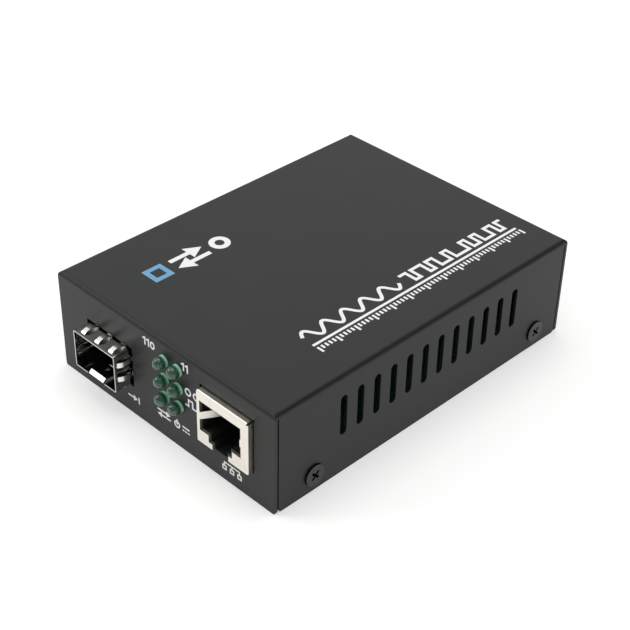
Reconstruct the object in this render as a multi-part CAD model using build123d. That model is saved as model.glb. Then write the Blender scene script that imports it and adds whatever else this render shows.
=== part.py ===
from build123d import *
import math
import os

# Fibre media converter: a folded steel cover over an inner pan, with one circuit board
# that carries a pluggable fibre module cage, a network socket, six lamps and a power inlet.
# Millimetres. The origin is the centre of the bottom face, +Z is up, the ports face -Y.

# Case: catalogue body size, with the folded sheet it is made of
CASE_WIDTH = 71.0
CASE_DEPTH = 94.8
CASE_HEIGHT = 26.4
SHEET = 0.8
BEND_INNER = 0.4
CORNER_GAP = 0.35
SIDE_FLANGE_ROUND = 0.9
END_FLANGE_ROUND = 0.6

# Vent slots along each long side
VENT_COUNT = 12
VENT_PITCH = 5.1
VENT_WIDTH = 2.0
VENT_TOP_MARGIN = 5.45
VENT_BOTTOM_MARGIN = 10.45
VENT_ROW_SHIFT = 0.5

# Inner pan
PAN_SIDE_GAP = 0.15
PAN_END_GAP = 0.2
PAN_FLANGE_HEIGHT = 8.4
PAN_FLANGE_ROUND = 1.5
COLLAR_RADIUS = 2.3
COLLAR_DEPTH = 1.0

# Countersunk cover screws, M3
COVER_SCREW_Z = 4.3
FRONT_SCREW_INSET = 11.4
REAR_SCREW_INSET = 9.2
CSK_HEAD_RADIUS = 2.65
CSK_HEAD_PROUD = 0.45
CSK_CLEARANCE = 0.1
M3_SHANK_RADIUS = 1.45
M3_CLEARANCE = 0.05
RECESS_SPAN = 2.6
RECESS_WIDTH = 0.6
RECESS_DEPTH = 1.1

# Circuit board and what carries it
BOARD_THICKNESS = 1.6
BOARD_SIDE_GAP = 0.2
BOARD_END_GAP = 1.2
STANDOFF_SHARE = 0.5684
STANDOFF_ACROSS = 5.0
CLINCH_RADIUS = 2.0
CLINCH_CLEARANCE = 0.03
STANDOFF_INSET_X = 6.7
FRONT_STANDOFF_INSET = 23.0
REAR_STANDOFF_INSET = 18.0
PAN_HEAD_RADIUS = 2.7
PAN_HEAD_HEIGHT = 2.0
SCREW_END_GAP = 2.0

# Pluggable module cage
CAGE_INSET = 17.85
CAGE_WIDTH = 14.4
CAGE_HEIGHT = 9.8
CAGE_LENGTH = 48.6
CAGE_WALL = 0.3
CAGE_CORNER = 0.6
CAGE_PROUD = 4.5
CAGE_LIFT = 0.3
CAGE_SIDE_CLEARANCE = 0.7
CAGE_TOP_CLEARANCE = 0.55
CAGE_FOOT_WIDTH = 0.8
CAGE_FOOT_LENGTH = 3.2
CAGE_FOOT_COUNT = 4
CAGE_FOOT_FRONT_GAP = 5.25
CAGE_FOOT_BACK_GAP = 5.35
CAGE_FOOT_CLEARANCE = 0.15
TONGUE_WIDTH = 5.1
TONGUE_SLIT = 0.5
TONGUE_LENGTH = 8.5
TONGUE_NOSE = 0.8
LATCH_HOLE = 2.6
BLADE_COUNT = 4
BLADE_PITCH = 1.7
BLADE_HEIGHT = 0.8
BLADE_LENGTH = 6.0
BLADE_BOW = 0.4

# Ground springs round the cage
SPRING_SHEET = 0.15
SPRING_WIDTH = 1.3
SPRING_PITCH_TOP = 4.8
SPRING_PITCH_SIDE = 3.8
SPRING_FRONT_SETBACK = 0.7
SPRING_BOW = 0.6
SPRING_LANDING = 0.3
SPRING_BAND = 2.0
SPRING_BAND_SETBACK = 1.0

# Card-edge connector at the back of the cage
EDGE_WIDTH = 11.6
EDGE_DEPTH = 9.2
EDGE_HEIGHT = 5.8
EDGE_SLOT_WIDTH = 9.2
EDGE_SLOT_HEIGHT = 1.3
EDGE_SLOT_Z = 2.9
EDGE_SLOT_DEPTH = 5.5
EDGE_BACK_GAP = 0.5
EDGE_CONTACT_COUNT = 10
EDGE_CONTACT_PITCH = 0.8
EDGE_CONTACT_WIDTH = 0.35
EDGE_CONTACT_THICKNESS = 0.15

# Network socket
JACK_INSET = 14.45
JACK_WIDTH = 15.9
JACK_HEIGHT = 13.7
JACK_DEPTH = 18.0
JACK_PROUD = 1.5
JACK_CLEARANCE = 0.35
SHIELD_SHEET = 0.3
SHIELD_CORNER = 0.7
SHIELD_BEND = 0.35
SHIELD_SEAM = 0.3
MOUTH_WIDTH = 12.7
MOUTH_HEIGHT = 7.9
MOUTH_TOP_RIM = 2.5
MOUTH_OFFSET_SHARE = 0.31
STEP_WIDTH = 7.3
STEP_HEIGHT = 1.85
NOTCH_WIDTH = 5.0
SHIELD_TONGUE_HEIGHT = 1.9
SHIELD_TONGUE_REACH = 3.8
SHIELD_TONGUE_LEAN = 2.3
SHIELD_FIT = 0.05
CAVITY_LIP = 0.5
CAVITY_DEPTH = 13.0
CONTACT_COUNT = 8
CONTACT_PITCH = 1.02
CONTACT_WIDTH = 0.35
CONTACT_THICKNESS = 0.3
CONTACT_FRONT = 1.6
CONTACT_BEND = 0.45
CONTACT_DROP = 2.6
CONTACT_REACH = 6.5
CONTACT_ROW_GAP = 2.54
CONTACT_WALL = 0.5
CONTACT_CLEARANCE = 0.2
PEG_RADIUS = 1.6
PEG_SPACING = 11.43
PEG_SETBACK = 9.4
PEG_CLEARANCE = 0.05
SHIELD_TAB_SETBACK = 12.0
SHIELD_TAB_WIDTH = 1.6
SHIELD_TAB_CLEARANCE = 0.2
PIN_PROJECTION = 1.0

# Lamps, 3 mm, two columns of three
LAMP_RADIUS = 1.5
LAMP_PROUD = 2.75
LAMP_FLANGE_RADIUS = 1.9
LAMP_FLANGE = 1.0
LAMP_LENGTH = 5.3
LAMP_HOLE_CLEARANCE = 0.12
LAMP_COLUMN_PITCH = 4.5
LAMP_ROW_PITCH = 4.9
LAMP_GAP_SHARE = 0.414
LAMP_DOME_STEPS = 5
LAMP_FIRST_ROW = 3.6
HOLDER_DEPTH = 3.4
HOLDER_MARGIN = 2.3
LEAD_SIZE = 0.5
LEAD_SPACING = 2.54
LEAD_CLEARANCE = 0.1
LEAD_HOLE_CLEARANCE = 0.2
LEAD_BEND = 0.8
LEAD_STEP = 1.6

# Parts behind the network socket
TRANSFORMER_WIDTH = 9.4
TRANSFORMER_LENGTH = 15.2
TRANSFORMER_HEIGHT = 5.6
TRANSFORMER_LIFT = 0.4
TRANSFORMER_GAP = 4.0
TRANSFORMER_SHIFT = 1.6
CHIP_SIZE = 14.0
CHIP_HEIGHT = 1.4
CHIP_LIFT = 0.1
CHIP_LEADS_PER_SIDE = 16
CHIP_LEAD_PITCH = 0.8
CHIP_LEAD_WIDTH = 0.35
CHIP_LEAD_THICKNESS = 0.15
CHIP_LEAD_REACH = 1.0
CRYSTAL_WIDTH = 4.6
CRYSTAL_LENGTH = 11.2
CRYSTAL_HEIGHT = 3.4
CRYSTAL_RIM = 0.4
PART_GAP = 2.5
SMALL_CHIP_WIDTH = 3.9
SMALL_CHIP_LENGTH = 4.9
SMALL_CHIP_HEIGHT = 1.6
SMALL_LEAD_REACH = 1.0

# Power inlet at the back, 5.5 mm plug with a 2.1 mm pin
INLET_INSET = 15.5
INLET_WIDTH = 9.0
INLET_HEIGHT = 11.0
INLET_DEPTH = 14.0
INLET_AXIS_Z = 6.4
INLET_BORE_RADIUS = 3.1
INLET_BORE_DEPTH = 9.5
INLET_PIN_RADIUS = 1.05
INLET_PIN_SETBACK = 0.8
INLET_PIN_TIP = 0.5
INLET_PIN_SHANK = 1.3
INLET_PANEL_GAP = 0.2
INLET_HOLE_RADIUS = 4.0
INLET_TAB_WIDTH = 2.0
INLET_TAB_THICKNESS = 0.5
INLET_TAB_LENGTH = 3.0
INLET_TAB_CLEARANCE = 0.2

# Supply parts along the back of the board
CAPACITOR_RADIUS = 4.0
CAPACITOR_HEIGHT = 10.2
CAPACITOR_BASE = 8.3
CAPACITOR_BASE_HEIGHT = 1.0
CAPACITOR_COUNT = 2
INDUCTOR_SIZE = 7.3
INDUCTOR_HEIGHT = 3.6
INDUCTOR_CORE_RADIUS = 2.6
DIODE_LENGTH = 4.4
DIODE_WIDTH = 2.6
DIODE_HEIGHT = 2.3
FUSE_LENGTH = 6.1
FUSE_WIDTH = 2.6
FUSE_HEIGHT = 1.4
SUPPLY_INSET = 6.5
SUPPLY_GAP_SHARE = 0.08

# Planes and places that follow from the sizes above
BEND_OUTER = BEND_INNER + SHEET
FRONT = -CASE_DEPTH / 2
BACK = CASE_DEPTH / 2
LEFT = -CASE_WIDTH / 2
RIGHT = CASE_WIDTH / 2
PAN_WIDTH = CASE_WIDTH - 2 * (SHEET + PAN_SIDE_GAP)
PAN_LENGTH = CASE_DEPTH - 2 * (SHEET + PAN_END_GAP)
BOARD_WIDTH = PAN_WIDTH - 2 * (SHEET + COLLAR_DEPTH + BOARD_SIDE_GAP)
BOARD_LENGTH = CASE_DEPTH - 2 * (SHEET + BOARD_END_GAP)
FREE_HEIGHT = CASE_HEIGHT - 2 * SHEET - BOARD_THICKNESS - JACK_HEIGHT
STANDOFF_HEIGHT = STANDOFF_SHARE * FREE_HEIGHT
BOARD_SCREW_LENGTH = BOARD_THICKNESS + STANDOFF_HEIGHT - SCREW_END_GAP
COVER_SCREW_LENGTH = 2 * SHEET + PAN_SIDE_GAP + COLLAR_DEPTH + BOARD_SIDE_GAP / 2
BOARD_UNDERSIDE = SHEET + STANDOFF_HEIGHT
BOARD_TOP = BOARD_UNDERSIDE + BOARD_THICKNESS
BOARD_BACK = BOARD_LENGTH / 2
CAGE_X = LEFT + CAGE_INSET
CAGE_FRONT = FRONT - CAGE_PROUD
CAGE_BACK = CAGE_FRONT + CAGE_LENGTH
CAGE_BOTTOM = BOARD_TOP + CAGE_LIFT
CAGE_Z = CAGE_BOTTOM + CAGE_HEIGHT / 2
JACK_X = RIGHT - JACK_INSET
JACK_FRONT = FRONT - JACK_PROUD
JACK_BACK = JACK_FRONT + JACK_DEPTH
JACK_TOP = BOARD_TOP + JACK_HEIGHT
MOUTH_X = JACK_X - MOUTH_OFFSET_SHARE * (JACK_WIDTH - MOUTH_WIDTH) / 2
MOUTH_TOP = JACK_TOP - MOUTH_TOP_RIM
MOUTH_BOTTOM = MOUTH_TOP - MOUTH_HEIGHT
CAVITY_BACK = JACK_FRONT + SHIELD_SHEET + CAVITY_DEPTH
CONTACT_SLOT = (CAVITY_BACK + CONTACT_WALL, JACK_BACK - SHIELD_SHEET - SHIELD_FIT - CONTACT_WALL)
PEG_Y = JACK_FRONT + PEG_SETBACK
SHIELD_TAB_Y = JACK_FRONT + SHIELD_TAB_SETBACK
PORT_GAP = JACK_X - JACK_WIDTH / 2 - (CAGE_X + CAGE_WIDTH / 2)
LAMP_X = JACK_X - JACK_WIDTH / 2 - LAMP_GAP_SHARE * PORT_GAP
LAMP_BACK = FRONT - LAMP_PROUD + LAMP_LENGTH
HOLDER_BACK = LAMP_BACK + HOLDER_DEPTH
TRANSFORMER_X = JACK_X - TRANSFORMER_SHIFT
TRANSFORMER_Y = JACK_BACK + TRANSFORMER_GAP + TRANSFORMER_LENGTH / 2
INLET_X = LEFT + INLET_INSET
INLET_BACK = BACK - SHEET - INLET_PANEL_GAP
INLET_FRONT = INLET_BACK - INLET_DEPTH
INLET_Z = BOARD_TOP + INLET_AXIS_Z
SUPPLY_Y = BOARD_BACK - SUPPLY_INSET
INPUT_ROW_Y = SUPPLY_Y - CAPACITOR_BASE / 2 - PART_GAP - FUSE_WIDTH / 2
CHIP_X = LAMP_X
CHIP_Y = (CAGE_BACK + INPUT_ROW_Y - FUSE_WIDTH / 2) / 2
SCREW_YS = (FRONT + FRONT_SCREW_INSET, BACK - REAR_SCREW_INSET)
STANDOFF_SPOTS = [
    (x, y)
    for x in (LEFT + STANDOFF_INSET_X, RIGHT - STANDOFF_INSET_X)
    for y in (FRONT + FRONT_STANDOFF_INSET, BACK - REAR_STANDOFF_INSET)
]
LAMP_SPOTS = {
    f"led_{row_name}_{column_name}": (
        LAMP_X + (column - 0.5) * LAMP_COLUMN_PITCH,
        BOARD_TOP + LAMP_FIRST_ROW + row * LAMP_ROW_PITCH,
        row,
    )
    for row, row_name in enumerate(("lower", "middle", "upper"))
    for column, column_name in enumerate(("left", "right"))
}


def block(x_span, y_span, z_span):
    """A box between two values on each axis."""
    size = [span[1] - span[0] for span in (x_span, y_span, z_span)]
    centre = [(span[0] + span[1]) / 2 for span in (x_span, y_span, z_span)]
    return Pos(*centre) * Box(*size)


def standing_box(x, y, z, width, length, height):
    """A box centred on x and y that stands on the height z."""
    return Pos(x, y, z) * Box(width, length, height, align=(Align.CENTER, Align.CENTER, Align.MIN))


def upright(x, y, z_low, z_high, radius):
    """A vertical cylinder between two heights."""
    return Pos(x, y, z_low) * Cylinder(radius, z_high - z_low, align=(Align.CENTER, Align.CENTER, Align.MIN))


def along_y(x, z, y_low, y_high, radius):
    """A cylinder that runs along Y."""
    return Pos(x, (y_low + y_high) / 2, z) * Rot(90, 0, 0) * Cylinder(radius, y_high - y_low)


def front_sketch(y):
    """A plane across the case at the depth y: sketch X is X, sketch Y is Z, normal -Y."""
    return Plane((0, y, 0), x_dir=(1, 0, 0), z_dir=(0, -1, 0))


def side_profile(x):
    """A plane along the case at x: sketch X is Y, sketch Y is Z, normal +X."""
    return Plane((x, 0, 0), x_dir=(0, 1, 0), z_dir=(1, 0, 0))


def outward(side, x, y, z):
    """A place whose local Z points away from the case on the left (-1) or right (+1) side."""
    return Pos(side * x, y, z) * Rot(0, 90 * side, 0)


def folded_shell():
    """The lid before it is pierced: bends all round the top, the ends folded over the sides."""
    outer = standing_box(0, 0, 0, CASE_WIDTH, CASE_DEPTH, CASE_HEIGHT)
    outer = fillet(outer.faces().sort_by(Axis.Z)[-1].edges(), BEND_OUTER)
    inner = standing_box(0, 0, 0, CASE_WIDTH - 2 * SHEET, CASE_DEPTH - 2 * SHEET, CASE_HEIGHT - SHEET)
    inner = fillet(inner.faces().sort_by(Axis.Z)[-1].edges(), BEND_INNER)
    shell = outer - inner
    seam = BACK - SHEET
    for side in (-1, 1):
        for end in (-1, 1):
            xs = sorted((side * (RIGHT - SHEET), side * (RIGHT + SHEET)))
            ys = sorted((end * seam, end * (seam - CORNER_GAP)))
            shell -= block(xs, ys, (-SHEET, CASE_HEIGHT - BEND_OUTER))
    for axis, radius in ((Axis.X, SIDE_FLANGE_ROUND), (Axis.Y, END_FLANGE_ROUND)):
        corners = [
            edge
            for edge in shell.edges().filter_by(axis)
            if edge.length < 2 * SHEET and edge.center().Z < SHEET / 2
        ]
        shell = fillet(corners, radius)
    return shell


def vent_slots():
    """Cutters for the row of upright slots on both long sides."""
    reach = 2 * SHEET
    length = CASE_HEIGHT - VENT_TOP_MARGIN - VENT_BOTTOM_MARGIN
    slots = []
    for side in (-1, 1):
        plane = Plane((side * RIGHT, 0, 0), x_dir=(0, 1, 0), z_dir=(1, 0, 0))
        for index in range(VENT_COUNT):
            y = VENT_ROW_SHIFT + (index - (VENT_COUNT - 1) / 2) * VENT_PITCH
            centre = Pos(y, VENT_BOTTOM_MARGIN + length / 2)
            slot = plane * centre * SlotOverall(length, VENT_WIDTH, rotation=90)
            slots.append(extrude(slot, reach, both=True))
    return slots


def cover():
    """The folded lid with its vents, front cut-outs, inlet hole and countersinks."""
    lid = folded_shell() - vent_slots()
    front_wall = (FRONT - SHEET, FRONT + 1.5 * SHEET)
    half_cage = CAGE_WIDTH / 2 + CAGE_SIDE_CLEARANCE
    cage_top = CAGE_BOTTOM + CAGE_HEIGHT + CAGE_TOP_CLEARANCE
    lid -= block((CAGE_X - half_cage, CAGE_X + half_cage), front_wall, (BOARD_TOP, cage_top))
    half_jack = JACK_WIDTH / 2 + JACK_CLEARANCE
    jack_span = (BOARD_TOP - JACK_CLEARANCE, JACK_TOP + JACK_CLEARANCE)
    lid -= block((JACK_X - half_jack, JACK_X + half_jack), front_wall, jack_span)
    for x, z, _ in LAMP_SPOTS.values():
        lid -= along_y(x, z, *front_wall, LAMP_RADIUS + LAMP_HOLE_CLEARANCE)
    lid -= along_y(INLET_X, INLET_Z, BACK - 1.5 * SHEET, BACK + SHEET, INLET_HOLE_RADIUS)
    mouth = CSK_HEAD_RADIUS + CSK_CLEARANCE
    for side in (-1, 1):
        for y in SCREW_YS:
            cone = Cone(mouth - SHEET, mouth, SHEET, align=(Align.CENTER, Align.CENTER, Align.MAX))
            lid -= outward(side, RIGHT, y, COVER_SCREW_Z) * cone
    return lid


def base_plate():
    """The inner pan: a channel with upturned sides, threaded collars and standoff holes."""
    outline = Pos(0, PAN_FLANGE_HEIGHT / 2) * Rectangle(PAN_WIDTH, PAN_FLANGE_HEIGHT)
    outline = fillet(outline.vertices().group_by(Axis.Y)[0], BEND_OUTER)
    hollow_height = PAN_FLANGE_HEIGHT - SHEET
    hollow = Pos(0, SHEET + hollow_height / 2) * Rectangle(PAN_WIDTH - 2 * SHEET, hollow_height)
    hollow = fillet(hollow.vertices().group_by(Axis.Y)[0], BEND_INNER)
    pan = extrude(front_sketch(0) * (outline - hollow), PAN_LENGTH / 2, both=True)
    flange_ends = [
        edge
        for edge in pan.edges().filter_by(Axis.X)
        if edge.length < 2 * SHEET and edge.center().Z > PAN_FLANGE_HEIGHT - SHEET / 2
    ]
    pan = fillet(flange_ends, PAN_FLANGE_ROUND)
    hole = M3_SHANK_RADIUS + M3_CLEARANCE
    wall = PAN_WIDTH / 2
    relief = CSK_HEAD_RADIUS + CSK_CLEARANCE - (RIGHT - wall) - hole
    for side in (-1, 1):
        for y in SCREW_YS:
            seat = outward(side, wall, y, COVER_SCREW_Z)
            collar = Cylinder(COLLAR_RADIUS, COLLAR_DEPTH, align=(Align.CENTER, Align.CENTER, Align.MAX))
            pan += seat * Pos(0, 0, -SHEET) * collar
            pan -= seat * Cylinder(hole, 4 * (SHEET + COLLAR_DEPTH))
            if relief > 0:
                pan -= seat * Cone(hole, hole + relief, relief, align=(Align.CENTER, Align.CENTER, Align.MAX))
    for x, y in STANDOFF_SPOTS:
        pan -= upright(x, y, -SHEET, 2 * SHEET, CLINCH_RADIUS + CLINCH_CLEARANCE)
    return pan


def cross_recess(top):
    """Cutter for a cross recess that sinks into a screw head from the height top."""
    sink = (Align.CENTER, Align.CENTER, Align.MAX)
    cutter = Box(RECESS_SPAN, RECESS_WIDTH, RECESS_DEPTH, align=sink)
    cutter += Box(RECESS_WIDTH, RECESS_SPAN, RECESS_DEPTH, align=sink)
    return Pos(0, 0, top) * Rot(0, 0, 45) * cutter


def cover_screw():
    """A countersunk screw: its local Z points out of the case, zero at the cover's face."""
    cone_depth = CSK_HEAD_RADIUS - M3_SHANK_RADIUS
    profile = Polyline(
        (0, CSK_HEAD_PROUD),
        (CSK_HEAD_RADIUS, CSK_HEAD_PROUD),
        (CSK_HEAD_RADIUS, 0),
        (M3_SHANK_RADIUS, -cone_depth),
        (M3_SHANK_RADIUS, -COVER_SCREW_LENGTH),
        (0, -COVER_SCREW_LENGTH),
        close=True,
    )
    body = revolve(Plane.XZ * make_face(profile), Axis.Z)
    return body - cross_recess(CSK_HEAD_PROUD)


def cover_screws():
    """All four cover screws."""
    return [
        outward(side, RIGHT, y, COVER_SCREW_Z) * cover_screw()
        for side in (-1, 1)
        for y in SCREW_YS
    ]


def standoffs():
    """Hexagonal clinch standoffs with a blind thread for the board screws."""
    pieces = []
    for x, y in STANDOFF_SPOTS:
        hexagon = RegularPolygon(STANDOFF_ACROSS / 2, 6, major_radius=False)
        body = Pos(x, y, SHEET) * extrude(hexagon, STANDOFF_HEIGHT)
        body += upright(x, y, 0, SHEET, CLINCH_RADIUS)
        bore_bottom = BOARD_TOP - BOARD_SCREW_LENGTH - 2 * M3_CLEARANCE
        body -= upright(x, y, bore_bottom, BOARD_TOP, M3_SHANK_RADIUS + M3_CLEARANCE)
        pieces.append(body)
    return pieces


def board_screws():
    """Pan-head screws that hold the board on its standoffs."""
    pieces = []
    for x, y in STANDOFF_SPOTS:
        head = upright(x, y, BOARD_TOP, BOARD_TOP + PAN_HEAD_HEIGHT, PAN_HEAD_RADIUS)
        head = chamfer(head.edges().sort_by(Axis.Z)[-1], PAN_HEAD_HEIGHT * 0.4)
        head += upright(x, y, BOARD_TOP - BOARD_SCREW_LENGTH, BOARD_TOP, M3_SHANK_RADIUS)
        pieces.append(head - Pos(x, y) * cross_recess(BOARD_TOP + PAN_HEAD_HEIGHT))
    return pieces


def cage_feet_spots():
    """Where the press-fit feet of the cage go through the board."""
    x_reach = CAGE_WIDTH / 2 - CAGE_WALL / 2
    first = -BOARD_LENGTH / 2 + CAGE_FOOT_FRONT_GAP
    pitch = (CAGE_BACK - CAGE_FOOT_BACK_GAP - first) / (CAGE_FOOT_COUNT - 1)
    return [
        (CAGE_X + side * x_reach, first + index * pitch)
        for side in (-1, 1)
        for index in range(CAGE_FOOT_COUNT)
    ]


def shield_tab_spots():
    """Where the socket's shield is soldered through the board."""
    reach = JACK_WIDTH / 2 - SHIELD_SHEET / 2
    return [(JACK_X + side * reach, SHIELD_TAB_Y) for side in (-1, 1)]


def contact_pin_spots():
    """Where the eight socket contacts go through the board, in two staggered rows."""
    first = CONTACT_SLOT[0] + CONTACT_THICKNESS
    return [
        (MOUTH_X + (index - (CONTACT_COUNT - 1) / 2) * CONTACT_PITCH, first + index % 2 * CONTACT_ROW_GAP)
        for index in range(CONTACT_COUNT)
    ]


def inlet_tab_spots():
    """Where the two solder tabs of the power inlet go through the board."""
    return [(INLET_X, INLET_FRONT + INLET_DEPTH * share) for share in (0.12, 0.5)]


def lead_bend_y(row):
    """How far back the leads of one row of lamps turn down, upper rows furthest."""
    return HOLDER_BACK + LEAD_BEND + LEAD_SIZE / 2 + row * LEAD_STEP


def lamp_lead_spots():
    """Where the twelve lamp leads go through the board."""
    return [
        (x + side * LEAD_SPACING / 2, lead_bend_y(row))
        for x, _, row in LAMP_SPOTS.values()
        for side in (-1, 1)
    ]


def circuit_board():
    """The glass-epoxy board with its screw, lead and foot holes."""
    board = standing_box(0, 0, BOARD_UNDERSIDE, BOARD_WIDTH, BOARD_LENGTH, BOARD_THICKNESS)
    through = (BOARD_UNDERSIDE - 1, BOARD_TOP + 1)
    for x, y in STANDOFF_SPOTS:
        board -= upright(x, y, *through, M3_SHANK_RADIUS + 3 * M3_CLEARANCE)
    for side in (-1, 1):
        peg_x = JACK_X + side * PEG_SPACING / 2
        board -= upright(peg_x, PEG_Y, *through, PEG_RADIUS + PEG_CLEARANCE)
    slots = [
        (lamp_lead_spots(), LEAD_SIZE, LEAD_SIZE, LEAD_HOLE_CLEARANCE),
        (contact_pin_spots(), CONTACT_WIDTH, CONTACT_THICKNESS, CONTACT_CLEARANCE),
        (cage_feet_spots(), CAGE_WALL, CAGE_FOOT_WIDTH, CAGE_FOOT_CLEARANCE),
        (shield_tab_spots(), SHIELD_SHEET, SHIELD_TAB_WIDTH, SHIELD_TAB_CLEARANCE),
        (inlet_tab_spots(), INLET_TAB_WIDTH, INLET_TAB_THICKNESS, INLET_TAB_CLEARANCE),
    ]
    for spots, width, length, clearance in slots:
        half_x = width / 2 + clearance
        half_y = length / 2 + clearance
        for x, y in spots:
            board -= block((x - half_x, x + half_x), (y - half_y, y + half_y), through)
    return board


def bowed_strip(plane, start, end, rise, thickness, width):
    """A thin strip bowed between two points of a side profile, width across the plane."""
    (y0, z0), (y1, z1) = start, end
    middle = ((y0 + y1) / 2, (z0 + z1) / 2 + rise)
    lower = ThreePointArc((y0, z0), middle, (y1, z1))
    upper = ThreePointArc((y1, z1 + thickness), (middle[0], middle[1] + thickness), (y0, z0 + thickness))
    outline = [lower, Line((y1, z1), (y1, z1 + thickness)), upper, Line((y0, z0 + thickness), (y0, z0))]
    return extrude(plane * make_face(outline), width / 2, both=True)


def cage_tongue():
    """The latch tongue: a sprung strip that rises to a nose at the mouth, with its latch hole."""
    root = CAGE_FRONT + TONGUE_LENGTH
    floor = CAGE_BOTTOM + CAGE_WALL
    crest = floor + TONGUE_NOSE
    crest_y = CAGE_FRONT + TONGUE_NOSE
    side = [
        (CAGE_FRONT, floor),
        (crest_y, crest),
        (crest_y + TONGUE_NOSE, crest),
        (root, floor),
        (root, floor - CAGE_WALL),
        (crest_y + TONGUE_NOSE, crest - CAGE_WALL),
        (crest_y + CAGE_WALL / 2, crest - CAGE_WALL),
        (CAGE_FRONT + CAGE_WALL / 2, floor - CAGE_WALL),
    ]
    strip = side_profile(CAGE_X) * make_face(Polyline(*side, close=True))
    strip = extrude(strip, TONGUE_WIDTH / 2, both=True)
    hole_y = crest_y + 2 * TONGUE_NOSE
    triangle = Polyline(
        (CAGE_X, hole_y),
        (CAGE_X + LATCH_HOLE / 2, hole_y + LATCH_HOLE),
        (CAGE_X - LATCH_HOLE / 2, hole_y + LATCH_HOLE),
        close=True,
    )
    return strip - Pos(0, 0, CAGE_BOTTOM - 1) * extrude(make_face(triangle), CAGE_HEIGHT / 2)


def sfp_cage():
    """The module cage: a folded tube, closed at the back, with blades, tongue and feet."""
    section = RectangleRounded(CAGE_WIDTH, CAGE_HEIGHT, CAGE_CORNER)
    bore = RectangleRounded(
        CAGE_WIDTH - 2 * CAGE_WALL, CAGE_HEIGHT - 2 * CAGE_WALL, CAGE_CORNER - CAGE_WALL
    )
    place = Plane((CAGE_X, CAGE_FRONT, CAGE_Z), x_dir=(1, 0, 0), z_dir=(0, -1, 0))
    cage = extrude(place * section, -CAGE_LENGTH) - extrude(place * bore, CAGE_WALL - CAGE_LENGTH)
    floor_span = (CAGE_BOTTOM - 1, CAGE_BOTTOM + CAGE_WALL)
    half_door = EDGE_WIDTH / 2 + CAGE_WALL
    door_front = CAGE_BACK - CAGE_WALL - EDGE_BACK_GAP - EDGE_DEPTH - CAGE_WALL
    cage -= block((CAGE_X - half_door, CAGE_X + half_door), (door_front, CAGE_BACK - CAGE_WALL), floor_span)
    half_gap = TONGUE_WIDTH / 2 + TONGUE_SLIT
    root = CAGE_FRONT + TONGUE_LENGTH
    cage -= block((CAGE_X - half_gap, CAGE_X + half_gap), (CAGE_FRONT - 1, root), floor_span)
    cage += cage_tongue()
    blade_front = CAGE_FRONT + 2 * CAGE_WALL
    for side in (-1, 1):
        wall = CAGE_X + side * (CAGE_WIDTH / 2 - CAGE_WALL / 2)
        for index in range(BLADE_COUNT):
            z = CAGE_Z + 0.4 + (index - (BLADE_COUNT - 1) / 2) * BLADE_PITCH
            window = (BLADE_HEIGHT + CAGE_WALL) / 2
            cage -= block(
                (wall - CAGE_WALL, wall + CAGE_WALL),
                (blade_front, blade_front + BLADE_LENGTH),
                (z - window, z + window),
            )
            plane = Plane((wall, 0, z), x_dir=(0, 1, 0), z_dir=(0, 0, side))
            cage += bowed_strip(
                plane,
                (blade_front - CAGE_WALL / 2, -CAGE_WALL / 2),
                (blade_front + BLADE_LENGTH + CAGE_WALL / 2, -CAGE_WALL / 2),
                BLADE_BOW,
                CAGE_WALL,
                BLADE_HEIGHT,
            )
    for x, y in cage_feet_spots():
        cage += standing_box(
            x, y, CAGE_BOTTOM + CAGE_WALL - CAGE_FOOT_LENGTH, CAGE_WALL, CAGE_FOOT_WIDTH, CAGE_FOOT_LENGTH
        )
    return cage


def sprung_finger(plane, tip, landing, root, level):
    """One finger: bowed from its tip to where it lands on the cage, then flat to its root."""
    bow = bowed_strip(plane, (tip, level), (landing, level), SPRING_BOW, SPRING_SHEET, SPRING_WIDTH)
    top = level + SPRING_SHEET
    flat = Polyline((landing, level), (root, level), (root, top), (landing, top), close=True)
    return bow + extrude(plane * make_face(flat), SPRING_WIDTH / 2, both=True)


def sfp_ground_springs():
    """A band round the cage behind the front, with bowed fingers that reach out through it."""
    band_front = FRONT + SHEET + SPRING_BAND_SETBACK
    inner = RectangleRounded(CAGE_WIDTH, CAGE_HEIGHT, CAGE_CORNER)
    outer = RectangleRounded(
        CAGE_WIDTH + 2 * SPRING_SHEET, CAGE_HEIGHT + 2 * SPRING_SHEET, CAGE_CORNER + SPRING_SHEET
    )
    place = Plane((CAGE_X, band_front, CAGE_Z), x_dir=(1, 0, 0), z_dir=(0, -1, 0))
    band = extrude(place * (outer - inner), -SPRING_BAND)
    tip = CAGE_FRONT + SPRING_FRONT_SETBACK
    landing = FRONT + SPRING_LANDING
    root = band_front + SPRING_BAND / 2
    fingers = []
    for index in (-1, 0, 1):
        plane = side_profile(CAGE_X + 0.3 + index * SPRING_PITCH_TOP)
        z = CAGE_BOTTOM + CAGE_HEIGHT
        fingers.append(sprung_finger(plane, tip, landing, root, z))
    for side in (-1, 1):
        for index in (-0.5, 0.5):
            z = CAGE_Z + 0.5 + index * SPRING_PITCH_SIDE
            plane = Plane((CAGE_X, 0, z), x_dir=(0, 1, 0), z_dir=(0, 0, -side))
            x = CAGE_WIDTH / 2
            fingers.append(sprung_finger(plane, tip, landing, root, x))
    for finger in fingers:
        band += finger
    return band


def edge_connector_front():
    """The depth at which the card-edge connector's mouth stands inside the cage."""
    return CAGE_BACK - CAGE_WALL - EDGE_BACK_GAP - EDGE_DEPTH


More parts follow.
